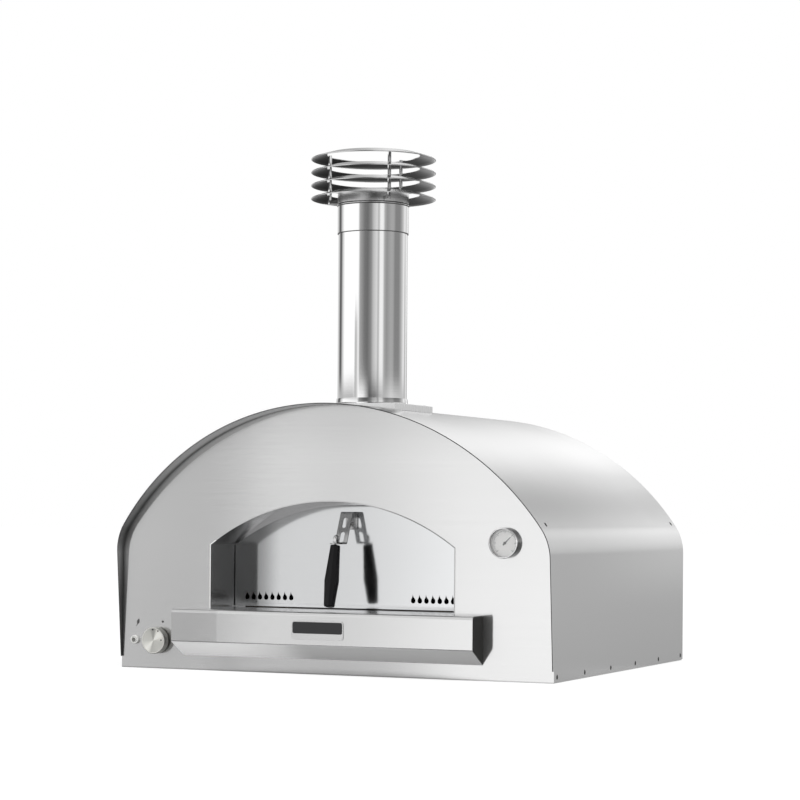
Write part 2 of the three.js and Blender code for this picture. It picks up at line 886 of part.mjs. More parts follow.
// Dial thermometer
function gaugeParts() {
  const front = frontY - gaugeProud;
  const back = frontY - seatGap;
  const outer = gaugeRadius;
  const caseOuter = outer - gaugeWall - seatGap;
  const lensBack = front + gaugeWall + seatGap + lensThickness;
  const bezel = [
    point(outer - gaugeLip, front),
    point(outer, front),
    point(outer, back),
    point(outer - gaugeWall, back),
    point(outer - gaugeWall, front + gaugeWall),
    point(outer - gaugeLip, front + gaugeWall),
    point(outer - gaugeLip, front),
  ];
  const caseWall = [
    point(stemRadius + seatGap, back - gaugeWall),
    point(caseOuter - gaugeWall, back - gaugeWall),
    point(caseOuter - gaugeWall, lensBack + seatGap),
    point(caseOuter, lensBack + seatGap),
    point(caseOuter, back),
    point(stemRadius + seatGap, back),
    point(stemRadius + seatGap, back - gaugeWall),
  ];
  const dialRadius = caseOuter - gaugeWall - seatGap;
  const dialBack = back - gaugeWall - seatGap;
  const dial = [
    point(staffRadius() + seatGap, dialBack - dialThickness),
    point(dialRadius, dialBack - dialThickness),
    point(dialRadius, dialBack),
    point(staffRadius() + seatGap, dialBack),
    point(staffRadius() + seatGap, dialBack - dialThickness),
  ];
  const lens = [
    point(0, front + gaugeWall + seatGap),
    point(caseOuter, front + gaugeWall + seatGap),
    point(caseOuter, lensBack),
    point(0, lensBack),
  ];
  const place = (profile, steps) => turnedAlongY(profile, steps).translate(gaugePlace, 0, gaugeHeight);
  add('thermometer_bezel', place(bezel), mirror);
  add('thermometer_case', place(caseWall), darkSteel);
  add('thermometer_dial', place(dial), paper);
  add('thermometer_lens', place(lens), glass);
  add('thermometer_stem', place(gaugeStem(back), smallSteps), steel);
  add('thermometer_needle', gaugeNeedle(dialBack - dialThickness), black);
}

function staffRadius() {
  return stemRadius / 4;
}

function nutRadius() {
  return stemRadius * 2;
}

function nutReach() {
  return panelSheet + seatGap + stemRadius * 2;
}

// The probe: a tube with the holding nut behind the panel, bored for the needle's staff.
function gaugeStem(back) {
  const bore = staffRadius() + seatGap;
  const mouthY = back - gaugeWall;
  return [
    point(bore, mouthY),
    point(stemRadius, mouthY),
    point(stemRadius, frontY + panelSheet + seatGap),
    point(nutRadius(), frontY + panelSheet + seatGap),
    point(nutRadius(), frontY + nutReach()),
    point(stemRadius, frontY + nutReach()),
    point(stemRadius, chamberFrontY + stemReach),
    point(0, chamberFrontY + stemReach + stemRadius),
    point(0, frontY + nutReach()),
    point(bore, frontY + nutReach()),
    point(bore, mouthY),
  ];
}

// Pointer, hub and staff. At rest it points up and to the right.
function gaugeNeedle(dialFront) {
  const hub = staffRadius() * 3;
  const back = dialFront - seatGap;
  const front = back - needleThickness;
  const staff = [
    point(0, front - needleThickness),
    point(hub, front - needleThickness),
    point(hub, back),
    point(staffRadius(), back),
    point(staffRadius(), frontY + nutReach() / 2),
    point(0, frontY + nutReach() / 2),
  ];
  const pointer = plate([
    point(-hub / 2, -needleLength / 3),
    point(hub / 2, -needleLength / 3),
    point(hub / 6, needleLength),
    point(-hub / 6, needleLength),
  ], front, back);
  return join([turnedAlongY(staff, tinySteps), pointer.rotateY(needleTurn)])
    .translate(gaugePlace, 0, gaugeHeight);
}

// Gas valve, knob and igniter
function supplyPlace() {
  return bodyHalf - flangeInset - panelSheet - seatGap - pipeRadius * 3;
}

function valveBackY() {
  return frontY + panelSheet + seatGap + valveDepth;
}

function spindleBackY() {
  return frontY + panelSheet + valveDepth / 3;
}

function pusherBackY() {
  return valveBackY() - valveDepth / 4;
}

function gasValve() {
  const x = -knobPlace;
  const z = knobHeight;
  const y0 = frontY + panelSheet + seatGap;
  const body = block(x - valveWidth / 2, x + valveWidth / 2, y0, valveBackY(), z - valveHeight / 2,
    z + valveHeight / 2);
  const neck = barAlongY(valveNeck, x, z, frontY, y0 + valveDepth / 2);
  const bore = barAlongY(spindleRadius + seatGap, x, z, frontY - overrun, pusherBackY() + knobPush + seatGap);
  return cut(join([body, neck]), [bore]);
}

function knobProfile() {
  const back = frontY - knobGap;
  const front = back - knobDepth;
  const bore = spindleRadius;
  return [
    point(0, front),
    point(knobRadius - knobEdge, front),
    point(knobRadius, front + knobEdge),
    point(knobRadius, back),
    point(knobRadius - knobWall, back),
    point(knobRadius - knobWall, front + knobWall),
    point(knobBoss, front + knobWall),
    point(knobBoss, back),
    point(bore + seatGap, back),
    point(bore + seatGap, front + knobWall),
    point(0, front + knobWall),
  ];
}

function knobAndSpindle() {
  const x = -knobPlace;
  const z = knobHeight;
  add('gas_knob', turnedAlongY(knobProfile()).translate(x, 0, z), mirror);
  const spindleFront = frontY - knobGap - knobDepth + knobWall + seatGap;
  add('valve_spindle', barAlongY(spindleRadius, x, z, spindleFront, spindleBackY()), brass);
  add('valve_pusher', barAlongY(spindleRadius, x, z, spindleBackY() + seatGap, pusherBackY()), steel);
}

function pipes() {
  const inletY = rearY - panelSheet - overrun;
  const x = -supplyPlace();
  const z = knobHeight;
  const valveY = valveBackY() + seatGap;
  add('gas_supply_pipe', rod([
    new THREE.Vector3(x, inletY - seatGap, z),
    new THREE.Vector3(x, inletY - supplyReach, z),
    new THREE.Vector3(x, 0, z),
    new THREE.Vector3(x, valveY + supplyReach * 3, z),
    new THREE.Vector3(x, valveY + supplyReach * 2, z),
    new THREE.Vector3((x - knobPlace) / 2, valveY + supplyReach, z),
    new THREE.Vector3(-knobPlace, valveY + supplyReach / 2, z),
    new THREE.Vector3(-knobPlace, valveY, z),
  ], pipeRadius, supplySteps), brass);
  const feedX = -burnerPlace;
  const feedY = wallFrontY - burnerNose;
  const valveTop = knobHeight + valveHeight / 2 + seatGap;
  const riseY = frontY + panelSheet + valveDepth / 2;
  add('burner_feed_pipe', rod([
    new THREE.Vector3(-knobPlace, riseY, valveTop),
    new THREE.Vector3(-knobPlace, riseY, valveTop + pipeRadius * 2),
    new THREE.Vector3((-knobPlace + feedX) / 2, riseY, (valveTop + burnerHeight) / 2),
    new THREE.Vector3(feedX, feedY - pipeRadius * 8, burnerHeight),
    new THREE.Vector3(feedX, feedY - pipeRadius * 2, burnerHeight),
    new THREE.Vector3(feedX, feedY + pipeRadius * 2, burnerHeight),
  ], pipeRadius, feedSteps), brass);
  const inlet = [
    point(inletBore, inletY),
    point(inletRadius, inletY),
    point(inletRadius, rearY + inletReach),
    point(inletBore, rearY + inletReach),
    point(inletBore, inletY),
  ];
  add('gas_inlet', turnedAlongY(inlet, smallSteps).translate(x, 0, z), brass);
}

// Tube burner along the left side of the hearth, open at its front end for gas and air.
function burner() {
  const x = -burnerPlace;
  const z = burnerHeight;
  const y0 = wallFrontY - burnerNose;
  const y1 = chamberRearY - burnerEndGap;
  const inner = burnerRadius - burnerWall;
  const tube = turnedAlongY([
    point(0, y1),
    point(burnerRadius, y1),
    point(burnerRadius, y0),
    point(inner, y0),
    point(inner, y1 - burnerWall),
    point(0, y1 - burnerWall),
  ].reverse(), smallSteps).translate(x, 0, z);
  const ports = Array.from({ length: burnerPortCount }, (_, i) => {
    const first = chamberFrontY + burnerNose * 2;
    const y = first + ((y1 - burnerNose - first) * i) / (burnerPortCount - 1);
    return block(x - burnerPort, x + burnerPort, y - burnerPort / 2, y + burnerPort / 2, z, z + overrun);
  });
  add('burner_tube', cut(tube, ports), steel);
  [['front', chamberFrontY + burnerNose], ['rear', y1 - burnerNose / 2]].forEach(([end, y]) => {
    const half = burnerRadius + burnerWall + seatGap;
    const post = block(x - half, x + half, y - bracketSheet, y + bracketSheet, hearthTop + seatGap,
      z + seatGap);
    const way = barAlongY(burnerRadius + seatGap, x, z, y - overrun, y + overrun, smallSteps);
    add(`burner_saddle_${end}`, cut(post, [way]), steel);
  });
}

function electrodePlace() {
  return burnerPlace - burnerRadius - electrodeRadius * 3;
}

function electrodeHeight() {
  return burnerHeight + burnerRadius;
}

function ignition() {
  const x = -igniterPlace;
  const z = knobHeight;
  const back = frontY - seatGap;
  const collar = [
    point(buttonRadius + seatGap, frontY - collarProud),
    point(igniterRadius, frontY - collarProud),
    point(igniterRadius, back),
    point(buttonRadius + seatGap, back),
    point(buttonRadius + seatGap, frontY - collarProud),
  ];
  add('igniter_collar', turnedAlongY(collar, roundSteps / 2).translate(x, 0, z), mirror);
  const buttonBack = frontY + panelSheet + buttonPush;
  add('igniter_button', barAlongY(buttonRadius, x, z, frontY - buttonProud, buttonBack, smallSteps), black);
  const piezoBack = buttonBack + piezoLength;
  const piezo = [
    point(0, piezoBack),
    point(piezoRadius, piezoBack),
    point(piezoRadius, frontY + seatGap),
    point(buttonRadius + seatGap, frontY + seatGap),
    point(buttonRadius + seatGap, buttonBack + buttonPush + seatGap),
    point(0, buttonBack + buttonPush + seatGap),
  ].reverse();
  add('piezo_body', turnedAlongY(piezo, smallSteps).translate(x, 0, z), black);
  const tipX = -electrodePlace();
  const tipZ = electrodeHeight();
  const electrodeFront = wallFrontY - electrodeLength / 2;
  add('ignition_electrode', barAlongY(
    electrodeRadius,
    tipX,
    tipZ,
    electrodeFront,
    electrodeFront + electrodeLength,
    tinySteps,
  ), ceramic);
  const over = knobHeight + valveHeight;
  add('ignition_lead', rod([
    new THREE.Vector3(x, piezoBack + seatGap, z),
    new THREE.Vector3(x, piezoBack + piezoRadius, z),
    new THREE.Vector3(x + piezoRadius, piezoBack + piezoRadius, over),
    new THREE.Vector3(-knobPlace, piezoBack, (over + tipZ) / 2 + piezoRadius * 2),
    new THREE.Vector3(tipX - piezoRadius, electrodeFront - piezoRadius * 2, tipZ + piezoRadius),
    new THREE.Vector3(tipX, electrodeFront - piezoRadius, tipZ),
    new THREE.Vector3(tipX, electrodeFront - seatGap, tipZ),
  ], leadRadius, supplySteps), black);
}

// Flue and cowl
function basePlate() {
  const half = basePlateWidth / 2;
  const skin = bodyArch(-seatGap, 0).filter((p) => Math.abs(p.x) < half && p.y > springHeight);
  const { large } = crownArc(bodyLine(-seatGap));
  const edge = crownHeight + seatGap - large + Math.sqrt(large ** 2 - half ** 2);
  const outline = [point(-half, plateTop), point(-half, edge), ...skin.slice().reverse(), point(half, edge),
    point(half, plateTop)];
  const body = plate(outline, flueY - half, flueY + half);
  const bore = flueRadius - flueSheet;
  return cut(body, [barAlongZ(bore, 0, flueY, springHeight, plateTop + overrun, roundSteps)]);
}

function flue() {
  const bore = flueRadius - flueSheet;
  const spigot = tubeProfile(
    bore - seatGap - flueSheet,
    bore - seatGap,
    chamberCrown - chamberSheet - spigotDrop,
    flueBottom + spigotRise,
  );
  const place = (profile) => turned(profile).translate(0, flueY, 0);
  add('flue_base_plate', basePlate(), steel);
  add('flue_spigot', place(spigot), steel);
  add('flue_collar', place(tubeProfile(
    flueRadius + seatGap,
    flueRadius + seatGap + collarWidth,
    flueBottom,
    flueBottom + collarHeight,
  )), mirror);
  add('flue_pipe', place(tubeProfile(bore, flueRadius, flueBottom, flueTop)), mirror);
}

function cowl() {
  const inner = flueRadius + seatGap;
  const outer = inner + sleeveSheet;
  const low = flueTop - sleeveLap;
  const step = flueTop + seatGap;
  const top = flueTop + sleeveRise;
  const sleeve = [
    point(inner, low),
    point(outer, low),
    point(outer, step),
    point(outer + beadRadius, step + beadRadius),
    point(outer, step + beadRadius * 2),
    point(outer, top),
    point(inner - flueSheet, top),
    point(inner - flueSheet, step),
    point(inner, step),
    point(inner, low),
  ];
  add('cowl_sleeve', turned(sleeve).translate(0, flueY, 0), mirror);
  for (let i = 0; i < ringCount; i += 1) {
    const z = flueTop + ringStart + i * ringPitch;
    const profile = [
      point(ringRadius, z),
      point(ringRadius, z + ringSheet),
      point(ringInner, z + ringRise + ringSheet),
      point(ringInner, z + ringRise),
      point(ringRadius, z),
    ];
    add(`cowl_ring_${i + 1}`, turned(profile).translate(0, flueY, 0), mirror);
  }
  const circle = ringInner * Math.cos(Math.PI / roundSteps) - seatGap - postRadius;
  const topRing = flueTop + ringStart + (ringCount - 1) * ringPitch;
  for (let i = 0; i < postCount; i += 1) {
    const turn = THREE.MathUtils.degToRad(postTurn + (360 * i) / postCount);
    const foot = step + beadRadius * 2 + postRadius * 2;
    const postTop = topRing + ringRise + ringSheet;
    const upright = barAlongZ(postRadius, circle, 0, foot - postRadius, postTop, tinySteps);
    const arm = block(outer + seatGap, circle, -postRadius, postRadius, foot - postRadius, foot + postRadius);
    add(`cowl_post_${i + 1}`, join([upright, arm]).rotateZ(turn).translate(0, flueY, 0), steel);
  }
}

casing();
chamber();
mouth();
door();
shelf();
gaugeParts();
add('gas_valve_body', gasValve(), brass);
knobAndSpindle();
pipes();
burner();
ignition();
flue();
cowl();

export default oven;
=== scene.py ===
import math

import bmesh
import bpy
from mathutils import Matrix, Vector
from mathutils.geometry import tessellate_polygon


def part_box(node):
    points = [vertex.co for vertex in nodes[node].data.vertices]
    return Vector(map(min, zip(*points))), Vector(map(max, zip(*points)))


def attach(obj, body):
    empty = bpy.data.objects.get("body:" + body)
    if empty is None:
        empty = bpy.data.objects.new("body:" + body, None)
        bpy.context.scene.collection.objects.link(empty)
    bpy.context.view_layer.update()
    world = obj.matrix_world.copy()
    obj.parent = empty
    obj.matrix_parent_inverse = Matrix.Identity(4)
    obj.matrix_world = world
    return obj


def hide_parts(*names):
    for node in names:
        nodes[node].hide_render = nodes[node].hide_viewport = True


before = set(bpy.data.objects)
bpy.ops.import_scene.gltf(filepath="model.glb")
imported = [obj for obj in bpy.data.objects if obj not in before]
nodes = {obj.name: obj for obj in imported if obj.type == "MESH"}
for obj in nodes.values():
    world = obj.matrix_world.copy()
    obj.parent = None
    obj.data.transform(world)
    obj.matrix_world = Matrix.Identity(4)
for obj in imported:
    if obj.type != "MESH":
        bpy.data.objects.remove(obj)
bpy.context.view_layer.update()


# Camera: it stands front right of the oven at the height of the mouth, level, and is turned a
# hair about its own axis, as the photograph's was. The shift puts the horizon below the middle.
turn_to_side = math.radians(24.186)
tilt_in_frame = math.radians(0.409)
looking = Vector((-math.sin(turn_to_side), math.cos(turn_to_side), 0))
rightwards = Vector((math.cos(turn_to_side), math.sin(turn_to_side), 0))
upwards = Vector((0, 0, 1))
across = rightwards * math.cos(tilt_in_frame) + upwards * math.sin(tilt_in_frame)
above = upwards * math.cos(tilt_in_frame) - rightwards * math.sin(tilt_in_frame)
stand = Matrix((across, above, -looking)).transposed().to_4x4()
stand.translation = Vector((2.1204, -4.7944, 0.3423))
camera_data = bpy.data.cameras.new("camera")
camera_data.lens = 104.61
camera_data.sensor_width = 36
camera_data.shift_y = 0.1393
camera = bpy.data.objects.new("camera", camera_data)
camera.matrix_world = stand
bpy.context.scene.collection.objects.link(camera)
bpy.context.scene.camera = camera
bpy.context.scene.view_settings.view_transform = "Standard"


# Studio: a pale floor, an even white surround and one large soft lamp. What polished steel sees
# is a room of white and grey screens, set by compass direction and height above the horizon.
def operator(operation):
    return lambda field, other: field.maths(operation, other)


class Field:
    """A number that varies over a surface, held as a node socket."""

    def __init__(self, finish, socket):
        self.finish = finish
        self.socket = socket

    def maths(self, operation, *others):
        inputs = dict(enumerate([self, *others]))
        node = self.finish.node("ShaderNodeMath", {"operation": operation}, inputs)
        return Field(self.finish, node.outputs[0])

    __add__ = __radd__ = operator("ADD")
    __sub__ = operator("SUBTRACT")
    __mul__ = __rmul__ = operator("MULTIPLY")
    __truediv__ = operator("DIVIDE")
    __pow__ = operator("POWER")
    __gt__ = operator("GREATER_THAN")
    __lt__ = operator("LESS_THAN")

    def __rsub__(self, other):
        return self * -1 + other

    def rise(self, low, high):
        """0 below low and 1 above high, with a soft step between."""
        node = self.finish.node(
            "ShaderNodeMapRange",
            {"interpolation_type": "SMOOTHSTEP"},
            {"Value": self, "From Min": low, "From Max": high},
        )
        return Field(self.finish, node.outputs["Result"])


class Finish:
    """A tree whose nodes are added one by one, of a material, a world or a shape."""

    def __init__(self, tree):
        self.tree = tree
        tree.nodes.clear()

    def node(self, kind, settings=None, values=None):
        made = self.tree.nodes.new(kind)
        for key, setting in (settings or {}).items():
            setattr(made, key, setting)
        for key, value in (values or {}).items():
            socket = made.inputs[key]
            if isinstance(value, Field):
                value = value.socket
            if isinstance(value, bpy.types.NodeSocket):
                self.tree.links.new(value, socket)
            elif isinstance(value, tuple) and socket.type == "RGBA":
                socket.default_value = (*value, 1)
            else:
                socket.default_value = value
        return made

    def coordinates(self, kind="Object"):
        return self.node("ShaderNodeTexCoord").outputs[kind]

    def parts(self, socket):
        return [Field(self, part) for part in self.node("ShaderNodeSeparateXYZ", {}, {0: socket}).outputs]

    def vector(self, x, y, z=0.0):
        return self.node("ShaderNodeCombineXYZ", {}, {0: x, 1: y, 2: z}).outputs[0]

    def noise(self, vector, scale, detail=2.0, roughness=0.5):
        values = {"Vector": vector, "Scale": scale, "Detail": detail, "Roughness": roughness}
        return Field(self, self.node("ShaderNodeTexNoise", {}, values).outputs[0])

    def ramp(self, amount, stops):
        made = self.node("ShaderNodeValToRGB", {}, {0: amount})
        elements = made.color_ramp.elements
        while len(elements) < len(stops):
            elements.new(1)
        for element, (place, colour) in zip(elements, stops):
            element.position = place
            element.color = (*colour, 1)
        return made.outputs[0]

    def blend(self, amount, first, second):
        values = {0: amount, 6: first, 7: second}
        return self.node("ShaderNodeMix", {"data_type": "RGBA"}, values).outputs[2]

    def scaled(self, colour, level):
        return self.node("ShaderNodeVectorMath", {"operation": "SCALE"}, {0: colour, 3: level}).outputs[0]

    def bump(self, height, strength, distance):
        values = {"Height": height, "Strength": strength, "Distance": distance}
        return self.node("ShaderNodeBump", {}, values).outputs[0]

    def principled(self, colour, metallic, roughness, others=None):
        values = {"Base Color": colour, "Metallic": metallic, "Roughness": roughness, **(others or {})}
        return self.node("ShaderNodeBsdfPrincipled", {}, values).outputs[0]

    def mix(self, amount, first, second):
        return self.node("ShaderNodeMixShader", {}, {0: amount, 1: first, 2: second}).outputs[0]

    def output(self, shader, kind="Material"):
        self.node(f"ShaderNodeOutput{kind}", {}, {0: shader})

    def surface(self, colour, metallic, roughness, others=None):
        self.output(self.principled(colour, metallic, roughness, others))


studio = bpy.data.worlds.new("studio")
studio.use_nodes = True
bpy.context.scene.world = studio
room = Finish(studio.node_tree)
degrees = 180 / math.pi
east, north, height = room.parts(room.coordinates("Generated"))
compass = east.maths("ARCTAN2", north * -1) * degrees
climb = height.maths("ARCSINE") * degrees


def screens(angle, stops):
    """Brightness by an angle in degrees, from the first stop's angle to the last one's."""
    first = stops[0][0]
    span = stops[-1][0] - first
    greys = [((place - first) / span, (level / 2,) * 3) for place, level in stops]
    return Field(room, room.ramp((angle - first) / span, greys)) * 2


high_screens = screens(compass, [
    (-180, 0.80), (-140, 0.80), (-124, 0.66), (-112, 0.12), (-104, 0.12), (-92, 0.75), (-80, 1.2),
    (-24, 1.2), (-18, 0.42), (-2, 0.20), (8, 0.17), (20, 0.30), (27, 0.58), (38, 0.78), (44, 0.50),
    (49, 1.0), (58, 1.0), (64, 0.46), (72, 0.33), (88, 0.44), (96, 0.42), (104, 0.26), (122, 0.26),
    (132, 0.42), (144, 0.72), (156, 1.1), (168, 0.9), (180, 0.80),
])
low_screens = screens(compass, [
    (-180, 0.9), (-90, 0.5), (-45, 0.40), (-33, 0.60), (-20, 1.24), (-16, 1.28), (-5, 1.2), (8, 0.5),
    (15, 0.09), (35, 0.09), (50, 0.4), (90, 0.8), (140, 0.6), (180, 0.6),
])
# The low screens straight ahead are drawn finer: the flat front shows them nearly sharp. The
# shelf, which looks lower, sees them a little to one side.
ahead_screens = screens(compass + (1 - climb.rise(-2.7, -2.3)) * 0.63, [
    (-33, 0.60), (-30.8, 0.61), (-29.8, 0.56), (-28.3, 0.50), (-27.95, 0.66), (-27.7, 0.85),
    (-27.4, 0.90), (-26.9, 0.87), (-26.1, 0.86), (-25.9, 0.79), (-25.2, 0.79), (-24.8, 0.86),
    (-24.3, 0.92), (-23.9, 0.97), (-23.1, 1.09), (-22.4, 1.17), (-20, 1.24), (-16, 1.28),
])
# Behind the oven the screens are set by the slope at which the shell's arch looks past itself.
slope = height.maths("ARCTAN2", east) * degrees
back_screens = screens(slope, [
    (-180, 0.6), (-150, 0.2), (-40, 0.12), (-14, 0.45), (-6, 0.545), (0, 0.535), (10, 0.57), (32, 0.86),
    (50, 1.04), (57, 1.04), (66, 0.70), (74, 0.45), (82, 0.42), (89, 0.57), (94, 0.82), (100, 1.14),
    (106, 1.44), (120, 1.40), (126, 1.24), (132, 1.00), (138, 0.72), (144, 0.46), (152, 0.26),
    (165, 0.14), (180, 0.10),
])
ahead = compass.rise(-33, -32) * (1 - compass.rise(-18, -17))
low = low_screens * (1 - ahead) + ahead_screens * ahead
beside = (compass > -36) * (compass < -23)
raised = climb.rise(2.7, 3.4) * (1 - beside) + climb.rise(4.4, 5.4) * beside
aloft = 1 - climb.rise(9, 16) * 0.32
facing = (low * (1 - raised) + high_screens * raised) * aloft
behind = compass.maths("ABSOLUTE").rise(152, 158)
around = facing * (1 - behind) + back_screens * behind
seen = around * (1 - (climb * -1).rise(6, 22) * 0.72)


def background(strength):
    values = {"Color": (1, 1, 1), "Strength": strength}
    return room.node("ShaderNodeBackground", {}, values).outputs[0]


ray = room.node("ShaderNodeLightPath").outputs
lit = room.mix(ray["Is Glossy Ray"], background(0.78), background(seen))
room.output(room.mix(ray["Is Camera Ray"], lit, background(1.0)), "World")


def new_material(name):
    """A material, its finish and the coordinates of the object that wears it."""
    material = bpy.data.materials.new(name)
    material.use_nodes = True
    finish = Finish(material.node_tree)
    return material, finish, finish.coordinates()


def link(piece):
    bpy.context.scene.collection.objects.link(piece)
    return piece


reach = 30
floor_mesh = bpy.data.meshes.new("floor")
floor_corners = [(-reach, -reach, 0), (reach, -reach, 0), (reach, reach, 0), (-reach, reach, 0)]
floor_mesh.from_pydata(floor_corners, [], [(0, 1, 2, 3)])
floor = link(bpy.data.objects.new("floor", floor_mesh))
floor_paint, paint, place = new_material("floor_paint")
x, y, _ = paint.parts(place)
from_middle = (x * x + y * y) ** 0.5
ray = paint.node("ShaderNodeLightPath").outputs
glossy = Field(paint, ray["Is Glossy Ray"])
glow = Field(paint, ray["Is Camera Ray"]) * 0.64 + glossy * 0.14
matt = paint.node("ShaderNodeBsdfDiffuse", {}, {"Color": (0.52, 0.52, 0.52)}).outputs[0]
lift = paint.node("ShaderNodeEmission", {}, {"Color": (1, 1, 1), "Strength": glow}).outputs[0]
both = paint.node("ShaderNodeAddShader", {}, {0: matt, 1: lift}).outputs[0]
clear = paint.node("ShaderNodeBsdfTransparent").outputs[0]
paint.output(paint.mix(glossy * from_middle.rise(0.50, 0.60), both, clear))
floor_mesh.materials.append(floor_paint)

lamp_data = bpy.data.lights.new("soft_lamp", "AREA")
lamp_data.shape = "RECTANGLE"
lamp_data.size = 3.0
lamp_data.size_y = 2.0
lamp_data.energy = 60
lamp = link(bpy.data.objects.new("soft_lamp", lamp_data))
lamp.location = (1.4, -2.6, 3.2)
lamp.rotation_euler = (Vector((0, -0.1, 0.3)) - lamp.location).to_track_quat("-Z", "Y").to_euler()
lamp.visible_glossy = False


# Outer shell: one brushed stainless sheet bent over the body. It runs forward of the front panel
# as a leaning visor, with a rounded front edge, and its grain runs round the arch.
def brushed_steel(
    name, tone, roughness, streaks=0.05, clouds=0.05, anisotropic=0.2, tint=(1.0, 1.0, 1.0), fade=None,
    haze=0.0,
):
    """Brushed sheet whose grain follows the first direction of its UV map, in metres. A fade is a
    function of X, Y and Z that scales the tone. Haze is the share of a broad, soft reflection."""
    material, finish, place = new_material(name)
    along, over, _ = finish.parts(finish.coordinates("UV"))
    fine = finish.noise(finish.vector(along * 6, over * 1400), 1.0, 3.0, 0.65)
    coarse = finish.noise(finish.vector(along * 1.3 + 7, over * 170), 1.0)
    broad = finish.noise(place, 2.6)
    level = 1 + (fine - 0.5) * streaks + (coarse - 0.5) * (streaks * 0.8) + (broad - 0.5) * clouds
    if fade:
        level = level * fade(*finish.parts(place))
    colour = finish.scaled(tuple(tone * t for t in tint), level)
    bump = finish.bump(fine * 0.7 + coarse * 0.3, 0.05, 0.0004)
    grain = {
        "Anisotropic": anisotropic,
        "Anisotropic Rotation": 0.25,
        "Normal": bump,
        "Tangent": finish.node("ShaderNodeTangent", {"direction_type": "UV_MAP"}).outputs[0],
    }
    rough = roughness * (1 + (fine - 0.5) * 0.3 + (broad - 0.5) * 0.2)
    shader = finish.principled(colour, 1.0, rough, grain)
    if haze:
        soft = finish.principled(colour, 1.0, 0.40 + (fine - 0.5) * 0.1, {"Normal": bump})
        shader = finish.mix(haze, shader, soft)
    finish.output(shader)
    return material


def finish_mesh(name, mesh, material, body, replaced=(), sharp=32):
    """Makes an object of a mesh, with smooth faces up to the sharp angle, and seats it in the frame."""
    mesh.name = name
    mesh.validate()
    mesh.shade_smooth()
    mesh.set_sharp_from_angle(angle=math.radians(sharp))
    mesh.materials.clear()
    mesh.materials.append(material)
    piece = link(bpy.data.objects.new(name, mesh))
    even = piece.modifiers.new("even_shading", "WEIGHTED_NORMAL")
    even.keep_sharp = True
    even.weight = 90
    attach(piece, body)
    if replaced:
        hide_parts(*replaced)
    return piece


def second_finish(piece, material, chosen):
    """Gives a further material to the faces that chosen picks."""
    piece.data.materials.append(material)
    index = len(piece.data.materials) - 1
    for polygon in piece.data.polygons:
        if chosen(polygon):
            polygon.material_index = index


def mesh_from(work):
    """Ends a bmesh as a mesh whose faces point outwards."""
    bmesh.ops.recalc_face_normals(work, faces=work.faces)
    mesh = bpy.data.meshes.new("piece")
    work.to_mesh(mesh)
    work.free()
    return mesh


def evaluated(holder):
    """The mesh of an object with its modifiers applied. The object itself goes."""
    bpy.context.view_layer.update()
    mesh = bpy.data.meshes.new_from_object(holder.evaluated_get(bpy.context.evaluated_depsgraph_get()))
    bpy.data.objects.remove(holder)
    return mesh


def loft_mesh(loops):
    """A capped skin through closed loops of as many points each. U runs from loop to loop and V
    round them, in metres."""
    count = len(loops[0])
    run = [0.0]
    for before, after in zip(loops, loops[1:]):
        run.append(run[-1] + max(math.dist(a, b) for a, b in zip(before, after)))
    girth = [0.0]
    for i in range(count):
        girth.append(girth[-1] + math.dist(loops[0][i], loops[0][(i + 1) % count]))
    faces = []
    spots = []
    for row in range(len(loops) - 1):
        for i in range(count):
            a = row * count + i
            b = row * count + (i + 1) % count
            faces.append((a, b, b + count, a + count))
            spots += [(run[row], girth[i]), (run[row], girth[i + 1])]
            spots += [(run[row + 1], girth[i + 1]), (run[row + 1], girth[i])]
    last = (len(loops) - 1) * count
    faces += [tuple(reversed(range(count))), tuple(range(last, last + count))]
    spots += [(0, girth[i]) for i in reversed(range(count))] + [(0, girth[i]) for i in range(count)]
    mesh = bpy.data.meshes.new("loft")
    mesh.from_pydata([point for loop in loops for point in loop], [], faces)
    layer = mesh.uv_layers.new(name="grain")
    for corner, spot in zip(layer.data, spots):
        corner.uv = spot
    work = bmesh.new()
    work.from_mesh(mesh)
    bmesh.ops.remove_doubles(work, verts=work.verts, dist=1e-6)
    return mesh_from(work)


def drilled(mesh, holes):
    """Cuts round holes through a mesh: each has a middle, a direction, a radius and a length."""
    work = bmesh.new()
    for middle, way, radius, length in holes:
        turn = Vector(way).to_track_quat("Z", "Y").to_matrix().to_4x4()
        bmesh.ops.create_cone(
            work, cap_ends=True, segments=72 if radius > 0.02 else 28, radius1=radius, radius2=radius,
            depth=length, matrix=Matrix.Translation(middle) @ turn,
        )
    drill = link(bpy.data.objects.new("drill", mesh_from(work)))
    solid = link(bpy.data.objects.new("solid", mesh))
    cutter = solid.modifiers.new("hole", "BOOLEAN")
    cutter.operation = "DIFFERENCE"
    cutter.solver = "EXACT"
    cutter.object = drill
    result = evaluated(solid)
    bpy.data.objects.remove(drill)
    return result


def arc(x, z, radius, start, end, steps):
    """Points round a middle from one angle to another, both included."""
    angles = [start + (end - start) * i / steps for i in range(steps + 1)]
    return [(x + radius * math.cos(angle), z + radius * math.sin(angle)) for angle in angles]


body_half = 0.5
spring_height = 0.25
shoulder = 0.11
crown_height = 0.566
front_face = -0.43
rear_face = 0.43
sheet_thickness = 0.002
shoulder_x = body_half - shoulder
drop = spring_height - crown_height
crown_radius = (shoulder ** 2 - shoulder_x ** 2 - drop ** 2) / (2 * (drop + shoulder))
crown_centre = crown_height - crown_radius
arcs_meet = math.atan2(spring_height - crown_centre, shoulder_x)


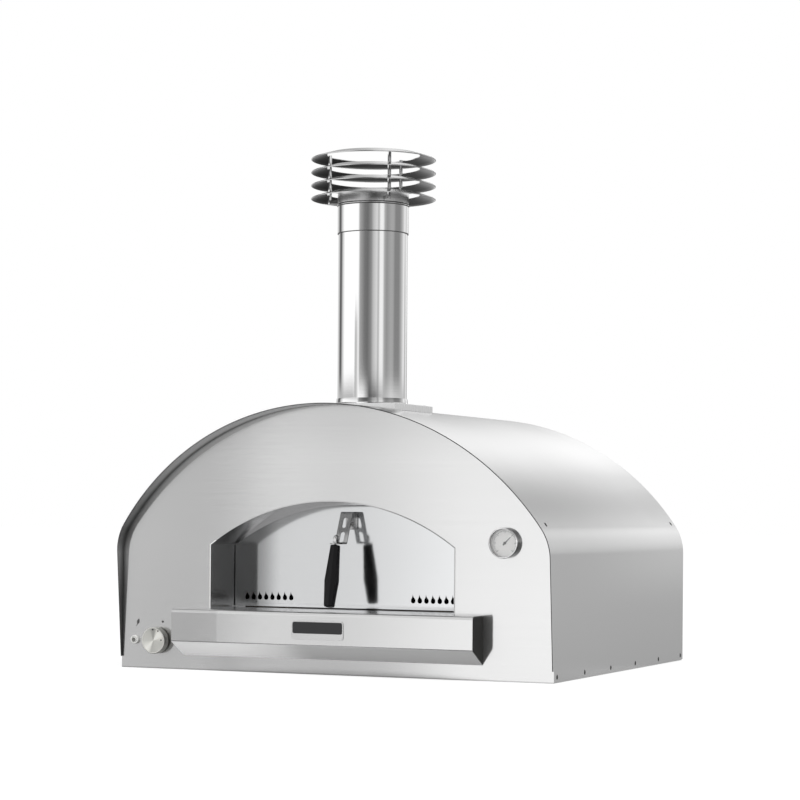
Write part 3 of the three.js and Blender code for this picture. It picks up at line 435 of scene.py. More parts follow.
def body_arch(inset, foot, steps=60):
    """Up the right side, round the shoulder, over the crown and down the left, moved in by inset."""
    side = [(body_half - inset, foot + (spring_height - foot) * i / 14) for i in range(14)]
    side += arc(shoulder_x, spring_height, shoulder - inset, 0, arcs_meet, 24)[:-1]
    side += arc(0, crown_centre, crown_radius - inset, arcs_meet, math.pi / 2, steps)
    return side + [(-x, z) for x, z in reversed(side[:-1])]


shell_foot = 0.0026
visor_base = 0.004
visor_lean = 0.08
notch_top = 0.0243
notch_front = front_face + sheet_thickness + 0.0003
flue_y = -0.226
beside_flue = 0.095


def visor_front(z):
    return front_face - visor_base - visor_lean * z


def shell_section(outer, inner, front):
    """The cut through the sheet at one point of the arch: outer face, round front edge, inner face."""
    rows = [rear_face, 0.25, 0.1, 0.0, flue_y + beside_flue, flue_y - beside_flue]
    rows += [front + 0.02, front + 0.0007]
    edge = ((0.1, 0.0003), (0.3, 0.00006), (0.5, 0.0), (0.7, 0.00006), (0.9, 0.0003))
    cut = [(0.0, y) for y in rows]
    cut += [(share, front + back) for share, back in edge]
    cut += [(1.0, y) for y in reversed(rows)]
    return [
        (outer[0] + (inner[0] - outer[0]) * share, y, outer[1] + (inner[1] - outer[1]) * share)
        for share, y in cut
    ]


# Near its foot the sheet's front edge steps back behind the panel.
shell_loops = []
in_notch = True
for outer, inner in zip(body_arch(0, shell_foot), body_arch(sheet_thickness, shell_foot)):
    if (outer[1] < notch_top) != in_notch:
        in_notch = not in_notch
        side = math.copysign(1, outer[0])
        corner = (side * body_half, notch_top)
        inner_corner = (side * (body_half - sheet_thickness), notch_top)
        step = [shell_section(corner, inner_corner, y) for y in (notch_front, visor_front(notch_top))]
        shell_loops += reversed(step) if in_notch else step
    shell_loops.append(shell_section(outer, inner, notch_front if in_notch else visor_front(outer[1])))

foot_screw_inset = 0.018
foot_screw_height = 0.012
shoulder_screw_front = 0.009
shoulder_screw_rear = 0.026
screw_hole = 0.0049
flue_hole = 0.075
casing_spots = []
for i in range(6):
    for side in (1, -1):
        y = front_face + foot_screw_inset + (rear_face - front_face - 2 * foot_screw_inset) * i / 5
        casing_spots.append((Vector((side * body_half, y, foot_screw_height)), Vector((side, 0, 0))))
shoulder_angle = math.radians(38)
for y in (front_face + shoulder_screw_front, rear_face - shoulder_screw_rear):
    for side in (1, -1):
        way = Vector((side * math.cos(shoulder_angle), 0, math.sin(shoulder_angle)))
        casing_spots.append((Vector((side * shoulder_x, y, spring_height)) + way * shoulder, way))
shell_holes = [((0, flue_y, 0.55), (0, 0, 1), flue_hole, 0.1)]
shell_holes += [(spot, way, screw_hole, 0.006) for spot, way in casing_spots]


# Painted light: the shell's tone rises towards the rear, on its sides and on its shoulders.
def painted_light_to_the_rear(x, y, z):
    on_shoulder = z.rise(0.29, 0.33) * (1 - z.rise(0.39, 0.43))
    return 0.97 + y.rise(-0.45, 0.45) * (z.rise(0.12, 0.26) * 0.26 + on_shoulder * 0.20)


shell_finish = brushed_steel(
    "shell_steel", 0.74, 0.19, streaks=0.04, clouds=0.03, anisotropic=0.9, fade=painted_light_to_the_rear
)
shell_piece = finish_mesh(
    "shell_skin", drilled(loft_mesh(shell_loops), shell_holes), shell_finish, "oven",
    ["outer_shell"], sharp=28,
)


def visor_lining():
    """The sheet's inner face: dull, with painted shade that is darkest in the corner against the panel and
    low down.
    """
    material, finish, place = new_material("visor_lining")
    _, y, z = finish.parts(place)
    out_of_corner = (y * -1 + front_face).rise(-0.003, 0.020)
    grain = finish.noise(finish.vector(y * 900, z * 8), 1.0, 2.0, 0.6)
    level = (0.40 + z.rise(0.14, 0.30) * 0.52) * (0.26 + out_of_corner * 0.74)
    finish.surface(level * (1 + (grain - 0.5) * 0.12), 1.0, 0.30 + (grain - 0.5) * 0.08)
    return material


def faces_inwards(face):
    outwards = Vector((face.center.x, 0, face.center.z - 0.2))
    return face.normal.dot(outwards) < 0 and face.center.z > 0.01


# Painted shade: the visor's front rim is near black, for the shadow gap along it.
visor_rim_shade_finish = brushed_steel("visor_rim_shade", 0.12, 0.36, streaks=0.1, clouds=0.1)
second_finish(shell_piece, visor_lining(), faces_inwards)
second_finish(shell_piece, visor_rim_shade_finish, lambda face: face.normal.y < -0.5)


# Front panel: a flat brushed sheet inside the visor, cut out for the mouth, the gas knob, the
# igniter and the thermometer. Its foot is as wide as the oven. Its grain lies level.
mouth_half = 0.282
mouth_spring = 0.268
mouth_apex = 0.361
hearth_top = 0.1326
panel_foot = 0.024
gauge_x = 0.394
gauge_z = 0.28
knob_x = -0.41
knob_z = 0.061
igniter_x = -0.466


def mouth_arch(apex, grow, foot):
    """The mouth's outline: upright sides and one arc from side to side, moved outwards by grow."""
    rise = apex - mouth_spring
    radius = (mouth_half ** 2 + rise ** 2) / (2 * rise)
    start = math.acos((mouth_half + grow) / (radius + grow))
    over = arc(0, apex - radius, radius + grow, start, math.pi - start, 72)
    return [(mouth_half + grow, foot), *over, (-mouth_half - grow, foot)]


def circle(x, z, radius, steps=40):
    return arc(x, z, radius, 0, 2 * math.pi, steps)[:-1]


def filled(work, rings, y):
    """Fills an outline with holes in it, at one depth, and gives each ring's points."""
    made = [[work.verts.new((x, y, z)) for x, z in ring] for ring in rings]
    points = [point for ring in made for point in ring]
    for corners in tessellate_polygon([[Vector((x, z, 0)) for x, z in ring] for ring in rings]):
        work.faces.new([points[i] for i in corners])
    return made


def walled(work, first, second):
    for i in range(len(first)):
        work.faces.new((first[i - 1], first[i], second[i], second[i - 1]))


def plate_mesh(outline, holes, front, back):
    """A flat sheet from y front to y back, with holes. U is X and V is Z, in metres."""
    work = bmesh.new()
    layer = work.loops.layers.uv.new("grain")
    rings = [outline, *holes]
    for near, far in zip(filled(work, rings, front), filled(work, rings, back)):
        walled(work, near, far)
    bmesh.ops.recalc_face_normals(work, faces=work.faces)
    for face in work.faces:
        flat = abs(face.normal.y) > 0.5
        upright = abs(face.normal.x) > 0.7
        for corner in face.loops:
            x, y, z = corner.vert.co
            corner[layer].uv = (x, z) if flat else (z if upright else x, y)
    return mesh_from(work)


def panel_painted_shade(x, y, z):
    """Painted shade: darker under the shelf, along the very foot and towards the crown."""
    under_shelf = (1 - z.rise(0.03, 0.05)) * x.rise(-0.33, -0.22) * (1 - x.rise(0.10, 0.34))
    at_foot = 0.55 + z.rise(0.0004, 0.0034) * 0.45
    return at_foot * (1 - under_shelf * 0.26) * (1 - z.rise(0.44, 0.54) * 0.10)


panel_outline = [
    (body_half, panel_foot), *body_arch(0.0023, panel_foot, 80), (-body_half, panel_foot),
    (-body_half, 0.0), (body_half, 0.0),
]
panel_cuts = [
    mouth_arch(mouth_apex, 0.0023, hearth_top - 0.0243), circle(gauge_x, gauge_z, 0.0043),
    circle(knob_x, knob_z, 0.0093), circle(igniter_x, knob_z, 0.0093),
]
panel_mesh = plate_mesh(panel_outline, panel_cuts, front_face, front_face + sheet_thickness)
panel_finish = brushed_steel(
    "panel_steel", 0.80, 0.075, streaks=0.045, anisotropic=1.0, fade=panel_painted_shade, haze=0.25
)
finish_mesh("front_sheet", panel_mesh, panel_finish, "oven", ["front_panel"])


# Mouth surround: the cheeks and the rising soffit, one dull steel sheet whose front edge stands a
# millimetre proud of the panel. The cut edge of its left upright carries a painted glint: it glows a little
# of itself.
surround_front = front_face - 0.001
surround_back = -0.308
surround_foot = hearth_top - 0.024
soffit_rise = 0.027


def mouth_line(grow, y):
    near = mouth_arch(mouth_apex, grow, surround_foot)
    far = mouth_arch(mouth_apex + soffit_rise, grow, surround_foot)
    share = (y - surround_front) / (surround_back - surround_front)
    return [(a[0] + (b[0] - a[0]) * share, y, a[1] + (b[1] - a[1]) * share) for a, b in zip(near, far)]


# Painted glint: a pale edge that glows a little of itself.
def painted_glint_edge():
    material, finish, place = new_material("rim_painted_glint")
    colour = finish.blend(finish.noise(place, 900), (0.92, 0.92, 0.91), (0.96, 0.96, 0.95))
    finish.surface(colour, 0.15, 0.5, {"Emission Color": colour, "Emission Strength": 0.3})
    return material


def on_rim(face):
    return face.center.y < surround_front + 0.0006


surround_mesh = loft_mesh(list(zip(*[mouth_line(grow, y) for grow, y in (
    (0.0, surround_back), (0.0, -0.35), (0.0, -0.39), (0.0, surround_front + 0.0007),
    (0.0003, surround_front + 0.0002), (0.001, surround_front), (0.0017, surround_front + 0.0002),
    (0.002, surround_front + 0.0007), (0.002, surround_back),
)])))
surround_finish = brushed_steel("lining_steel", 0.96, 0.22, streaks=0.08, clouds=0.10, anisotropic=0.5)
lining_piece = finish_mesh(
    "mouth_lining", surround_mesh, surround_finish, "oven", ["mouth_surround"], sharp=40
)
second_finish(lining_piece, panel_finish, on_rim)
second_finish(lining_piece, painted_glint_edge(), lambda face: on_rim(face) and face.center.x < -0.27)


# Shelf: a folded brushed sheet in front of the mouth, with a round bend at its top front edge and a
# sloping underside, closed by black caps inside its ends.
shelf_half = 0.346
shelf_front = -0.4853
shelf_back = -0.4303
shelf_low = hearth_top - 0.07
shelf_drop = 0.031
shelf_bend = 0.008
shelf_knee = 0.0025
underside_slope = math.atan2(shelf_drop, shelf_back - shelf_front)


def shelf_line(inset):
    """The shelf's cut, moved in by inset: top, round bend, front, knee and sloping underside."""
    top = hearth_top - inset
    front = shelf_front + inset
    radius = shelf_bend - inset
    foot = shelf_low + inset * math.tan((math.pi / 2 - underside_slope) / 2)
    return [
        (shelf_back, top),
        *arc(front + radius, top - radius, radius, math.pi / 2, math.pi, 12),
        (front, foot + shelf_knee),
        (front + shelf_knee * 0.25, foot + shelf_knee * 0.2),
        (front + shelf_knee, foot - shelf_knee * 0.56),
        (shelf_back, shelf_low - shelf_drop + inset / math.cos(underside_slope)),
    ]


# Painted shade: the shelf's face is a little darker left of a soft step near its left end.
def shelf_left_painted_shade(x, y, z):
    return 0.87 + x.rise(-0.241, -0.233) * 0.13


def underside_painted_light():
    """The same sheet seen from below: satin, with a painted reflection of the floor: paler towards its left
    end, and a faint glow of its own.
    """
    material, finish, place = new_material("shelf_underside")
    x, _, z = finish.parts(place)
    grain = finish.noise(finish.vector(x * 6, z * 1400), 1.0, 3.0, 0.65)
    level = (0.97 - x.rise(-0.21, -0.04) * 0.33) * (1 + (grain - 0.5) * 0.05)
    glow = {"Emission Color": 0.30 + (1 - x.rise(-0.11, -0.02)) * 0.54, "Emission Strength": 0.25}
    finish.surface(level, 0.05, 0.42 + (grain - 0.5) * 0.08, glow)
    return material


shelf_ring = shelf_line(0) + list(reversed(shelf_line(sheet_thickness)))
shelf_mesh = loft_mesh([[(x, y, z) for y, z in shelf_ring] for x in (-shelf_half, -0.1, 0.1, shelf_half)])
shelf_finish = brushed_steel(
    "shelf_steel", 0.80, 0.075, streaks=0.03, clouds=0.03, anisotropic=1.0, fade=shelf_left_painted_shade,
    haze=0.25,
)
shelf_piece = finish_mesh(
    "shelf_sheet", shelf_mesh, shelf_finish, "oven", ["shelf"], sharp=35
)
second_finish(shelf_piece, underside_painted_light(), lambda face: face.normal.z < -0.6 and face.normal.y < -0.2)


def plain_paint(
    name, colour, roughness, metallic=0.0, speck=0.1, bump_height=0.0, scale=900, coat=0.0, shine=0.5,
):
    """A moulded or painted surface with a fine grain, read from the object's own place."""
    material, finish, place = new_material(name)
    grain = finish.noise(place, scale, 3.0, 0.6)
    broad = finish.noise(place, scale / 25)
    level = 1 + (grain - 0.5) * speck + (broad - 0.5) * speck
    finish.surface(finish.scaled(colour, level), metallic, roughness + (broad - 0.5) * 0.12, {
        "Coat Weight": coat,
        "Specular IOR Level": shine,
        "Normal": finish.bump(grain, bump_height, 0.0005),
    })
    return material


def dress(names, material):
    """Gives the CAD's own solids a material."""
    for name in names:
        nodes[name].data.materials.clear()
        nodes[name].data.materials.append(material)


cap_finish = plain_paint("cap_paint", (0.030, 0.030, 0.028), 0.5, speck=0.3, bump_height=0.15)
dress(["shelf_cap_left", "shelf_cap_right"], cap_finish)


# Door: a polished sheet with turned-back edges that stands in the mouth. Near its foot it has a row
# of flame-shaped air holes on each side.
door_front = -0.322
door_back = -0.308
door_foot = hearth_top + 0.0021
flame_half = 0.005
flame_height = 0.0195
flame_pitch = 0.0152
flame_inset = 0.032
flame_foot = hearth_top + 0.0164


def door_line(inset):
    return mouth_arch(mouth_apex - 0.004, -0.0015 - inset, door_foot + inset)


def flame(x, z):
    """A drop with its tip blown to the left."""
    w = flame_half
    tall = flame_height
    legs = [
        ((0, 0), (w * 1.3, 0), (w * 1.3, tall * 0.42), (w * 0.6, tall * 0.55)),
        ((w * 0.6, tall * 0.55), (w * 0.25, tall * 0.64), (-w * 0.05, tall * 0.76), (-w * 0.3, tall)),
        ((-w * 0.3, tall), (-w * 0.2, tall * 0.82), (-w * 0.45, tall * 0.66), (-w * 0.75, tall * 0.52)),
        ((-w * 0.75, tall * 0.52), (-w * 1.3, tall * 0.3), (-w * 1.1, 0), (0, 0)),
    ]
    points = []
    for leg in legs:
        for t in [step / 7 for step in range(7)]:
            shares = ((1 - t) ** 3, 3 * (1 - t) ** 2 * t, 3 * (1 - t) * t ** 2, t ** 3)
            points.append(tuple(sum(share * corner[k] for share, corner in zip(shares, leg)) for k in (0, 1)))
    return [(x + px, z + pz) for px, pz in points]


air_holes = [
    flame(side * (mouth_half - flame_inset - i * flame_pitch), flame_foot)
    for side in (1, -1) for i in range(8)
]
work = bmesh.new()
layer = work.loops.layers.uv.new("grain")
front_rings = filled(work, [door_line(0.0012), *air_holes], door_front)
back_rings = filled(work, [door_line(sheet_thickness), *air_holes], door_front + sheet_thickness)
edge_rings = [[work.verts.new((x, y, z)) for x, z in door_line(inset)] for inset, y in (
    (0.0004, door_front + 0.0003), (0, door_front + 0.0012), (0, door_back), (sheet_thickness, door_back),
)]
around_edge = [front_rings[0], *edge_rings, back_rings[0]]
for first, second in [*zip(around_edge, around_edge[1:]), *zip(front_rings[1:], back_rings[1:])]:
    walled(work, first, second)
for face in work.faces:
    for corner in face.loops:
        x, y, z = corner.vert.co
        corner[layer].uv = (x, z + y)


# Painted reflection: the door is darker at its left, where it mirrors the dark left cheek.
def door_left_painted_reflection(x, y, z):
    return 0.50 + x.rise(-0.225, -0.165) * 0.50


door_finish = brushed_steel(
    "door_steel", 0.76, 0.095, streaks=0.02, clouds=0.02, anisotropic=0.5, tint=(0.99, 1.0, 1.01),
    fade=door_left_painted_reflection,
)
finish_mesh("door_sheet", mesh_from(work), door_finish, "door", ["door_panel"], sharp=40)


# Name plate: a plain steel plate with round corners, fixed on the shelf's front face. Its field is
# black enamel, and the bare steel stands round it as a thin bright rim.
(plate_left, plate_front, plate_foot), (plate_right, plate_back, plate_head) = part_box("name_plate")
plate_x = (plate_left + plate_right) / 2
plate_z = (plate_foot + plate_head) / 2
plate_half_w = (plate_right - plate_left) / 2
plate_half_h = (plate_head - plate_foot) / 2


def rounded(mid_z, half_w, half_h, radius):
    """An oblong about the plate's middle line, with round corners."""
    points = []
    for i, (right, up) in enumerate(((1, 1), (-1, 1), (-1, -1), (1, -1))):
        corner_x = plate_x + right * (half_w - radius)
        corner_z = mid_z + up * (half_h - radius)
        points += arc(corner_x, corner_z, radius, math.pi / 2 * i, math.pi / 2 * (i + 1), 8)
    return points


plate_loops = []
for inset, y in (
    (0, plate_back), (0, plate_front + 0.0003), (0.0003, plate_front), (0.0016, plate_front),
    (0.0018, plate_front + 0.0002),
):
    ring = rounded(plate_z, plate_half_w - inset, plate_half_h - inset, 0.006 - inset)
    plate_loops.append([(x, y, z) for x, z in ring])
plate_steel = brushed_steel("plate_steel", 0.74, 0.22, streaks=0.08, anisotropic=0.6)
finish_mesh("plate_base", loft_mesh(plate_loops), plate_steel, "oven", ["name_plate"], sharp=30)
field_outline = rounded(
    plate_z + plate_half_h * 0.26, plate_half_w - 0.0024, plate_half_h * 0.74 - 0.0024, 0.004
)
field_mesh = plate_mesh(field_outline, [], plate_front + 0.00002, plate_front + 0.0004)
plate_black = plain_paint(
    "plate_enamel", (0.022, 0.022, 0.024), 0.30, speck=0.25, bump_height=0.05, scale=1200
)
finish_mesh("plate_field", field_mesh, plate_black, "oven", sharp=30)


# Handle bracket: a bent strip screwed to the door, with two long slots in its sloping web. Its
# foot carries the grip and narrows towards its end.
strip = 0.002
strip_half = 0.014
tab_length = 0.038
standoff = 0.025
reach_out = 0.055
web_drop = 0.066
foot_length = 0.038
bracket_back = door_front - 0.0003
bracket_top = hearth_top + 0.208
bracket_low = bracket_top - web_drop
web_start = tab_length + standoff
web_length = math.hypot(reach_out - standoff, web_drop)
slot_half_length = 0.012
slot_half_width = 0.005


def softened(points, radius):
    """A line through corners, each corner eased by a short arc."""
    result = [Vector(points[0])]
    for before, here, after in zip(points, points[1:], points[2:]):
        here = Vector(here)
        start_point = here - (here - Vector(before)).normalized() * radius
        end_point = here + (Vector(after) - here).normalized() * radius
        for t in [step / 6 for step in range(7)]:
            result.append(start_point * (1 - t) ** 2 + here * 2 * t * (1 - t) + end_point * t * t)
    return result + [Vector(points[-1])]


def evenly(points, spacing):
    """The same line with points at an even spacing, and its length so far at each."""
    result = [(points[0], 0.0)]
    done = 0.0
    for a, b in zip(points, points[1:]):
        length = (b - a).length
        pieces = max(1, round(length / spacing))
        result += [(a.lerp(b, i / pieces), done + length * i / pieces) for i in range(1, pieces + 1)]
        done += length
    return result


strip_path = evenly(softened([
    (bracket_back - strip / 2, bracket_top - tab_length),
    (bracket_back - strip / 2, bracket_top - strip / 2),
    (bracket_back - standoff, bracket_top - strip / 2),
    (bracket_back - reach_out + strip / 2, bracket_low - strip / 2),
    (bracket_back - reach_out - foot_length, bracket_low - strip / 2),
], 0.003), 0.0009)
strip_length = strip_path[-1][1]


def slot_half(s):
    """Half the slot's width at a distance along the strip, and 0 where there is none."""
    for share in (0.28, 0.74):
        away = abs(s - web_start - web_length * share) - (slot_half_length - slot_half_width)
        if away < slot_half_width:
            return math.sqrt(slot_half_width ** 2 - max(away, 0) ** 2)
    return 0.0


def edge_half(s):
    """The strip's half width: it narrows on the foot, whose end is rounder."""
    past_web = s - web_start - web_length
    corner = 0.009 if past_web > 0 else 0.006
    half = strip_half - min(0.004, max(0.0, past_web * 0.5))
    near_end = min(s, strip_length - s)
    if near_end >= corner:
        return half
    return half - corner + math.sqrt(corner ** 2 - (corner - near_end) ** 2)


work = bmesh.new()
layer = work.loops.layers.uv.new("grain")
rows = []
for point, s in strip_path:
    half = edge_half(s)
    gap = min(slot_half(s), half)
    middle = (half + gap) / 2
    across_strip = (-half, -middle, -gap, gap, middle, half)
    rows.append(([work.verts.new((x, point.x, point.y)) for x in across_strip], s))
for (first, s0), (second, s1) in zip(rows, rows[1:]):
    for k in (0, 1, 3, 4):
        face = work.faces.new((first[k], first[k + 1], second[k + 1], second[k]))
        for corner in face.loops:
            corner[layer].uv = (s0 if corner.vert in first else s1, corner.vert.co.x)
bmesh.ops.remove_doubles(work, verts=work.verts, dist=1e-6)
holder = link(bpy.data.objects.new("holder", mesh_from(work)))
solidify = holder.modifiers.new("thickness", "SOLIDIFY")
solidify.thickness = strip
solidify.offset = 0
solidify.use_even_offset = True
bracket_finish = brushed_steel("bracket_steel", 0.47, 0.20, streaks=0.35, clouds=0.5, anisotropic=0.4)
finish_mesh(
    "handle_bracket", evaluated(holder), bracket_finish, "door", ["door_bracket"], sharp=40
)


# Grip: a black moulded handle hung from the bracket's foot by a bolt with a domed nut. It swells
# towards its middle, has ten flats down its length, ends bluntly and leans out at the bottom.
grip_top = bracket_low - strip
grip_length = 0.134
grip_kick = 0.030
grip_reach = 0.080
lean = math.atan2(grip_kick, grip_length)
grip_place = Matrix.Translation((0, door_front - grip_reach, grip_top - 0.0003))
grip_turn = grip_place @ Matrix.Rotation(-lean, 4, "X")


def turned_mesh(profile, segments, turn, radius_at=None, closed=False):
    """A piece turned about Z and then set in its place. U runs round it and V along its profile, in
    metres."""
    work = bmesh.new()
    layer = work.loops.layers.uv.new("grain")
    rings = []
    run = 0.0
    before = profile[0]
    for radius, z in profile:
        run += math.dist(before, (radius, z))
        before = (radius, z)
        ring = []
        for i in range(segments if radius > 0 else 1):
            angle = 2 * math.pi * i / segments
            r = radius * (radius_at(angle, z) if radius_at else 1)
            ring.append(work.verts.new((r * math.cos(angle), r * math.sin(angle), z)))
        rings.append((ring, run))
    if closed:
        rings.append((rings[0][0], run + 0.002))
    girth = 2 * math.pi * max(radius for radius, _ in profile)
    for (first, v0), (second, v1) in zip(rings, rings[1:]):
        for i in range(segments):
            j = (i + 1) % segments
            u0 = girth * i / segments
            u1 = girth * (i + 1) / segments
            corners = {}
            for ring, k, u, v in (
                (first, i, u0, v0), (first, j, u1, v0), (second, j, u1, v1), (second, i, u0, v1),
            ):
                pole = len(ring) == 1
                corners[ring[0 if pole else k]] = (u0 if pole else u, v)
            face = work.faces.new(tuple(corners))
            for corner, spot in zip(face.loops, corners.values()):
                corner[layer].uv = spot
    mesh = mesh_from(work)
    mesh.transform(turn)
    return mesh


def many_sided(count, flat, low=-1, high=1):
    """Eases a round section towards flats between two heights. A flat's middle is at the share
    flat of the radius."""
    def radius_at(angle, z):
        share = (angle * count / (2 * math.pi)) % 1 - 0.5
        return flat / max(flat, math.cos(share * 2 * math.pi / count)) if low < z < high else 1
    return radius_at


grip_profile = [
    (0.0, -0.0024), (0.0092, -0.0024), (0.0100, -0.0027), (0.0104, -0.0036), (0.0122, -0.030),
    (0.0149, -0.068), (0.0155, -0.0745), (0.0156, -0.078), (0.0154, -0.082), (0.0136, -0.104),
    (0.0117, -0.1295), (0.0112, -0.1318), (0.0100, -0.1332), (0.0070, -0.1338), (0.0066, -0.1330),
    (0.0, -0.1330),
]
grip_mesh = turned_mesh(grip_profile, 80, grip_turn, many_sided(10, 0.957))
grip_finish = plain_paint(
    "grip_moulding", (0.004, 0.004, 0.005), 0.38, speck=0.3, bump_height=0.12, scale=1500, shine=0.3
)
finish_mesh("grip_handle", grip_mesh, grip_finish, "door", ["door_grip"], sharp=16)
nut_profile = [
    (0.0, -0.030), (0.003, -0.030), (0.003, 0.0044), (0.0060, 0.0044), (0.0067, 0.0050),
    (0.0067, 0.0112), (0.0060, 0.0120), (0.0058, 0.0138), (0.0052, 0.0166), (0.0038, 0.0188),
    (0.0019, 0.0200), (0.0, 0.0203),
]
nut_mesh = turned_mesh(nut_profile, 48, grip_turn, many_sided(6, 0.87, 0.0046, 0.0116))
nut_finish = brushed_steel("nut_steel", 0.80, 0.12)
finish_mesh("grip_cap_nut", nut_mesh, nut_finish, "door", ["door_grip_bolt"], sharp=30)


# Flue: a pipe of polished stainless steel that slips over the spigot and stands on the base plate.
# A turned collar closes the joint at its foot.
def polished_steel(name, tone, roughness, rings=0.04):
    """Bright rolled steel, with faint polishing lines round the piece."""
    material, finish, place = new_material(name)
    around_it, over, _ = finish.parts(finish.coordinates("UV"))
    lines = finish.noise(finish.vector(around_it * 3, over * 700), 1.0, 2.0, 0.6)
    broad = finish.noise(place, 9.0)
    level = tone * (1 + (lines - 0.5) * rings + (broad - 0.5) * 0.04)
    bump = finish.bump(broad * 0.9 + lines * 0.1, 0.02, 0.002)
    finish.surface(level, 1.0, roughness + (lines - 0.5) * 0.03, {"Normal": bump})
    return material


def lifted(profile, height):
    return [(radius, height + rise) for radius, rise in profile]


flue_spot = Matrix.Translation((0, flue_y, 0))
flue_bottom = 0.5723
flue_top = 1.0013
pipe_inner = 0.0735
pipe_outer = 0.075
pipe_finish = polished_steel("pipe_steel", 0.86, 0.045)
pipe_profile = [
    (pipe_inner, flue_bottom), (pipe_outer, flue_bottom), (pipe_outer, 0.70), (pipe_outer, 0.85),
    (pipe_outer, flue_top), (pipe_inner, flue_top), (pipe_inner, 0.8),
]
pipe_mesh = turned_mesh(pipe_profile, 128, flue_spot, closed=True)
finish_mesh("flue_tube", pipe_mesh, pipe_finish, "flue", ["flue_pipe"], sharp=30)
collar_profile = lifted([
    (0.0753, 0.0), (0.0788, 0.0), (0.0788, 0.0025), (0.0779, 0.0036), (0.0774, 0.010),
    (0.0768, 0.0128), (0.0753, 0.013),
], flue_bottom)
collar_mesh = turned_mesh(collar_profile, 128, flue_spot, closed=True)
finish_mesh("flue_foot_ring", collar_mesh, pipe_finish, "flue", ["flue_collar"], sharp=25)


# Cowl: a sleeve with a rolled bead that slips over the pipe, and four cone rings held one above
# another by three rods.
bead_height = 1.0033
bead_edge = 0.0014
sleeve_foot = 0.9413
sleeve_profile = [
    (0.0753, sleeve_foot), (0.0770, sleeve_foot), (0.0770, 0.9430), (0.0770, 1.0000), (0.0776, 1.0014),
    (0.0784, 1.0022), (0.0785, 1.0034), (0.0782, 1.0044), (0.0774, 1.0052), (0.0770, 1.0062),
    (0.0770, 1.0313), (0.0738, 1.0313), (0.0738, 1.0016), (0.0753, 1.0016),
]


def in_shade(face):
    """Where painted shade goes: the sleeve's lowest edge and the hollows above and below its bead."""
    beside_bead = bead_edge < abs(face.center.z - bead_height) < 2 * bead_edge
    return beside_bead or face.center.z < sleeve_foot + 0.0016


sleeve_mesh = turned_mesh(sleeve_profile, 128, flue_spot, closed=True)
sleeve_finish = polished_steel("sleeve_steel", 0.86, 0.06)
sleeve_piece = finish_mesh(
    "cowl_collar", sleeve_mesh, sleeve_finish, "cowl", ["cowl_sleeve"], sharp=25
)
second_finish(sleeve_piece, polished_steel("shade_steel", 0.17, 0.34, rings=0.25), in_shade)
top_finish = polished_steel("sleeve_top_steel", 0.97, 0.30, rings=0.3)
second_finish(sleeve_piece, top_finish, lambda face: face.center.z > bead_height + 0.0032)


def underside_finish():
    """The rings' undersides: dull and streaked round, with painted shade that keeps them dark and a painted
    reflection that makes them paler at the front, the right and the rim.
    """
    material, finish, place = new_material("underside_steel")
    around_it, over, _ = finish.parts(finish.coordinates("UV"))
    x, y, _ = finish.parts(place)
    from_flue = y - flue_y
    streak = finish.noise(finish.vector(around_it * 4, over * 420), 1.0, 3.0, 0.65)
    paler = (from_flue * -1).rise(0.02, 0.085) * 0.62 + x.rise(0.05, 0.12) * 0.22
    rim = ((x * x + from_flue * from_flue) ** 0.5).rise(0.124, 0.134)
    level = (0.13 + paler + rim * 0.35) * (1 + (streak - 0.5) * 0.9)
    finish.surface(level, 1.0, 0.30 + (streak - 0.5) * 0.1)
    return material


under_finish = underside_finish()
lip_finish = polished_steel("lip_steel", 0.88, 0.12)
ring_finish = polished_steel("ring_steel", 0.55, 0.16, rings=0.12)
for i in range(4):
    ring_profile = lifted([
        (0.1350, 0.0009), (0.1348, 0.0018), (0.1341, 0.0024), (0.1330, 0.0026), (0.118, 0.0073),
        (0.1003, 0.0125), (0.1003, 0.0111), (0.118, 0.0058), (0.1325, 0.0010), (0.1335, 0.0001),
        (0.1344, 0.0001), (0.1350, 0.0004),
    ], flue_top + 0.015 + i * 0.0285)
    louvre = finish_mesh(
        f"cowl_louvre_{i + 1}", turned_mesh(ring_profile, 144, flue_spot, closed=True), lip_finish, "cowl",
        [f"cowl_ring_{i + 1}"], sharp=40,
    )
    second_finish(louvre, ring_finish, lambda face: face.normal.z > 0.85)
    second_finish(louvre, under_finish, lambda face: face.normal.z < -0.85)
dress([f"cowl_post_{i + 1}" for i in range(3)], polished_steel("post_steel", 0.80, 0.14))


# Base plate of the flue: a solid steel saddle that fits the shell's crown, screwed down at its four
# corners. It is flat on top, with eased edges and a bore for the spigot.
plate_half = 0.1
plate_top = 0.572
plate_ease = 0.0008
saddle_outline = [
    (-plate_half, plate_top - plate_ease), (-plate_half + plate_ease, plate_top),
    (plate_half - plate_ease, plate_top), (plate_half, plate_top - plate_ease),
]
saddle_radius = crown_radius + 0.0003
for step in range(33):
    x = plate_half - 2 * plate_half * step / 32
    saddle_outline.append((x, crown_centre + math.sqrt(saddle_radius ** 2 - x ** 2)))
saddle_mesh = plate_mesh(saddle_outline, [], flue_y - plate_half, flue_y + plate_half)
saddle_mesh = drilled(saddle_mesh, [((0, flue_y, 0.55), (0, 0, 1), pipe_inner, 0.1)])
saddle_finish = brushed_steel("saddle_steel", 0.86, 0.28)
finish_mesh("flue_saddle", saddle_mesh, saddle_finish, "oven", ["flue_base_plate"], sharp=25)


# Thermometer: a round case through the front panel, closed by a polished bezel over a thin glass.
# Its pale enamel dial carries a printed scale in even steps, and a dark needle turns over it.
def on_the_front(x, z):
    """Turns a piece so that its height stands out of the front at a place."""
    return Matrix.Translation((x, 0, z)) @ Matrix.Rotation(math.radians(90), 4, "X")


def about(finish, place, x, z):
    """The way right, the way up and the distance from a middle on the front."""
    right, _, up = finish.parts(place)
    right = right - x
    up = up - z
    return right, up, (right * right + up * up) ** 0.5


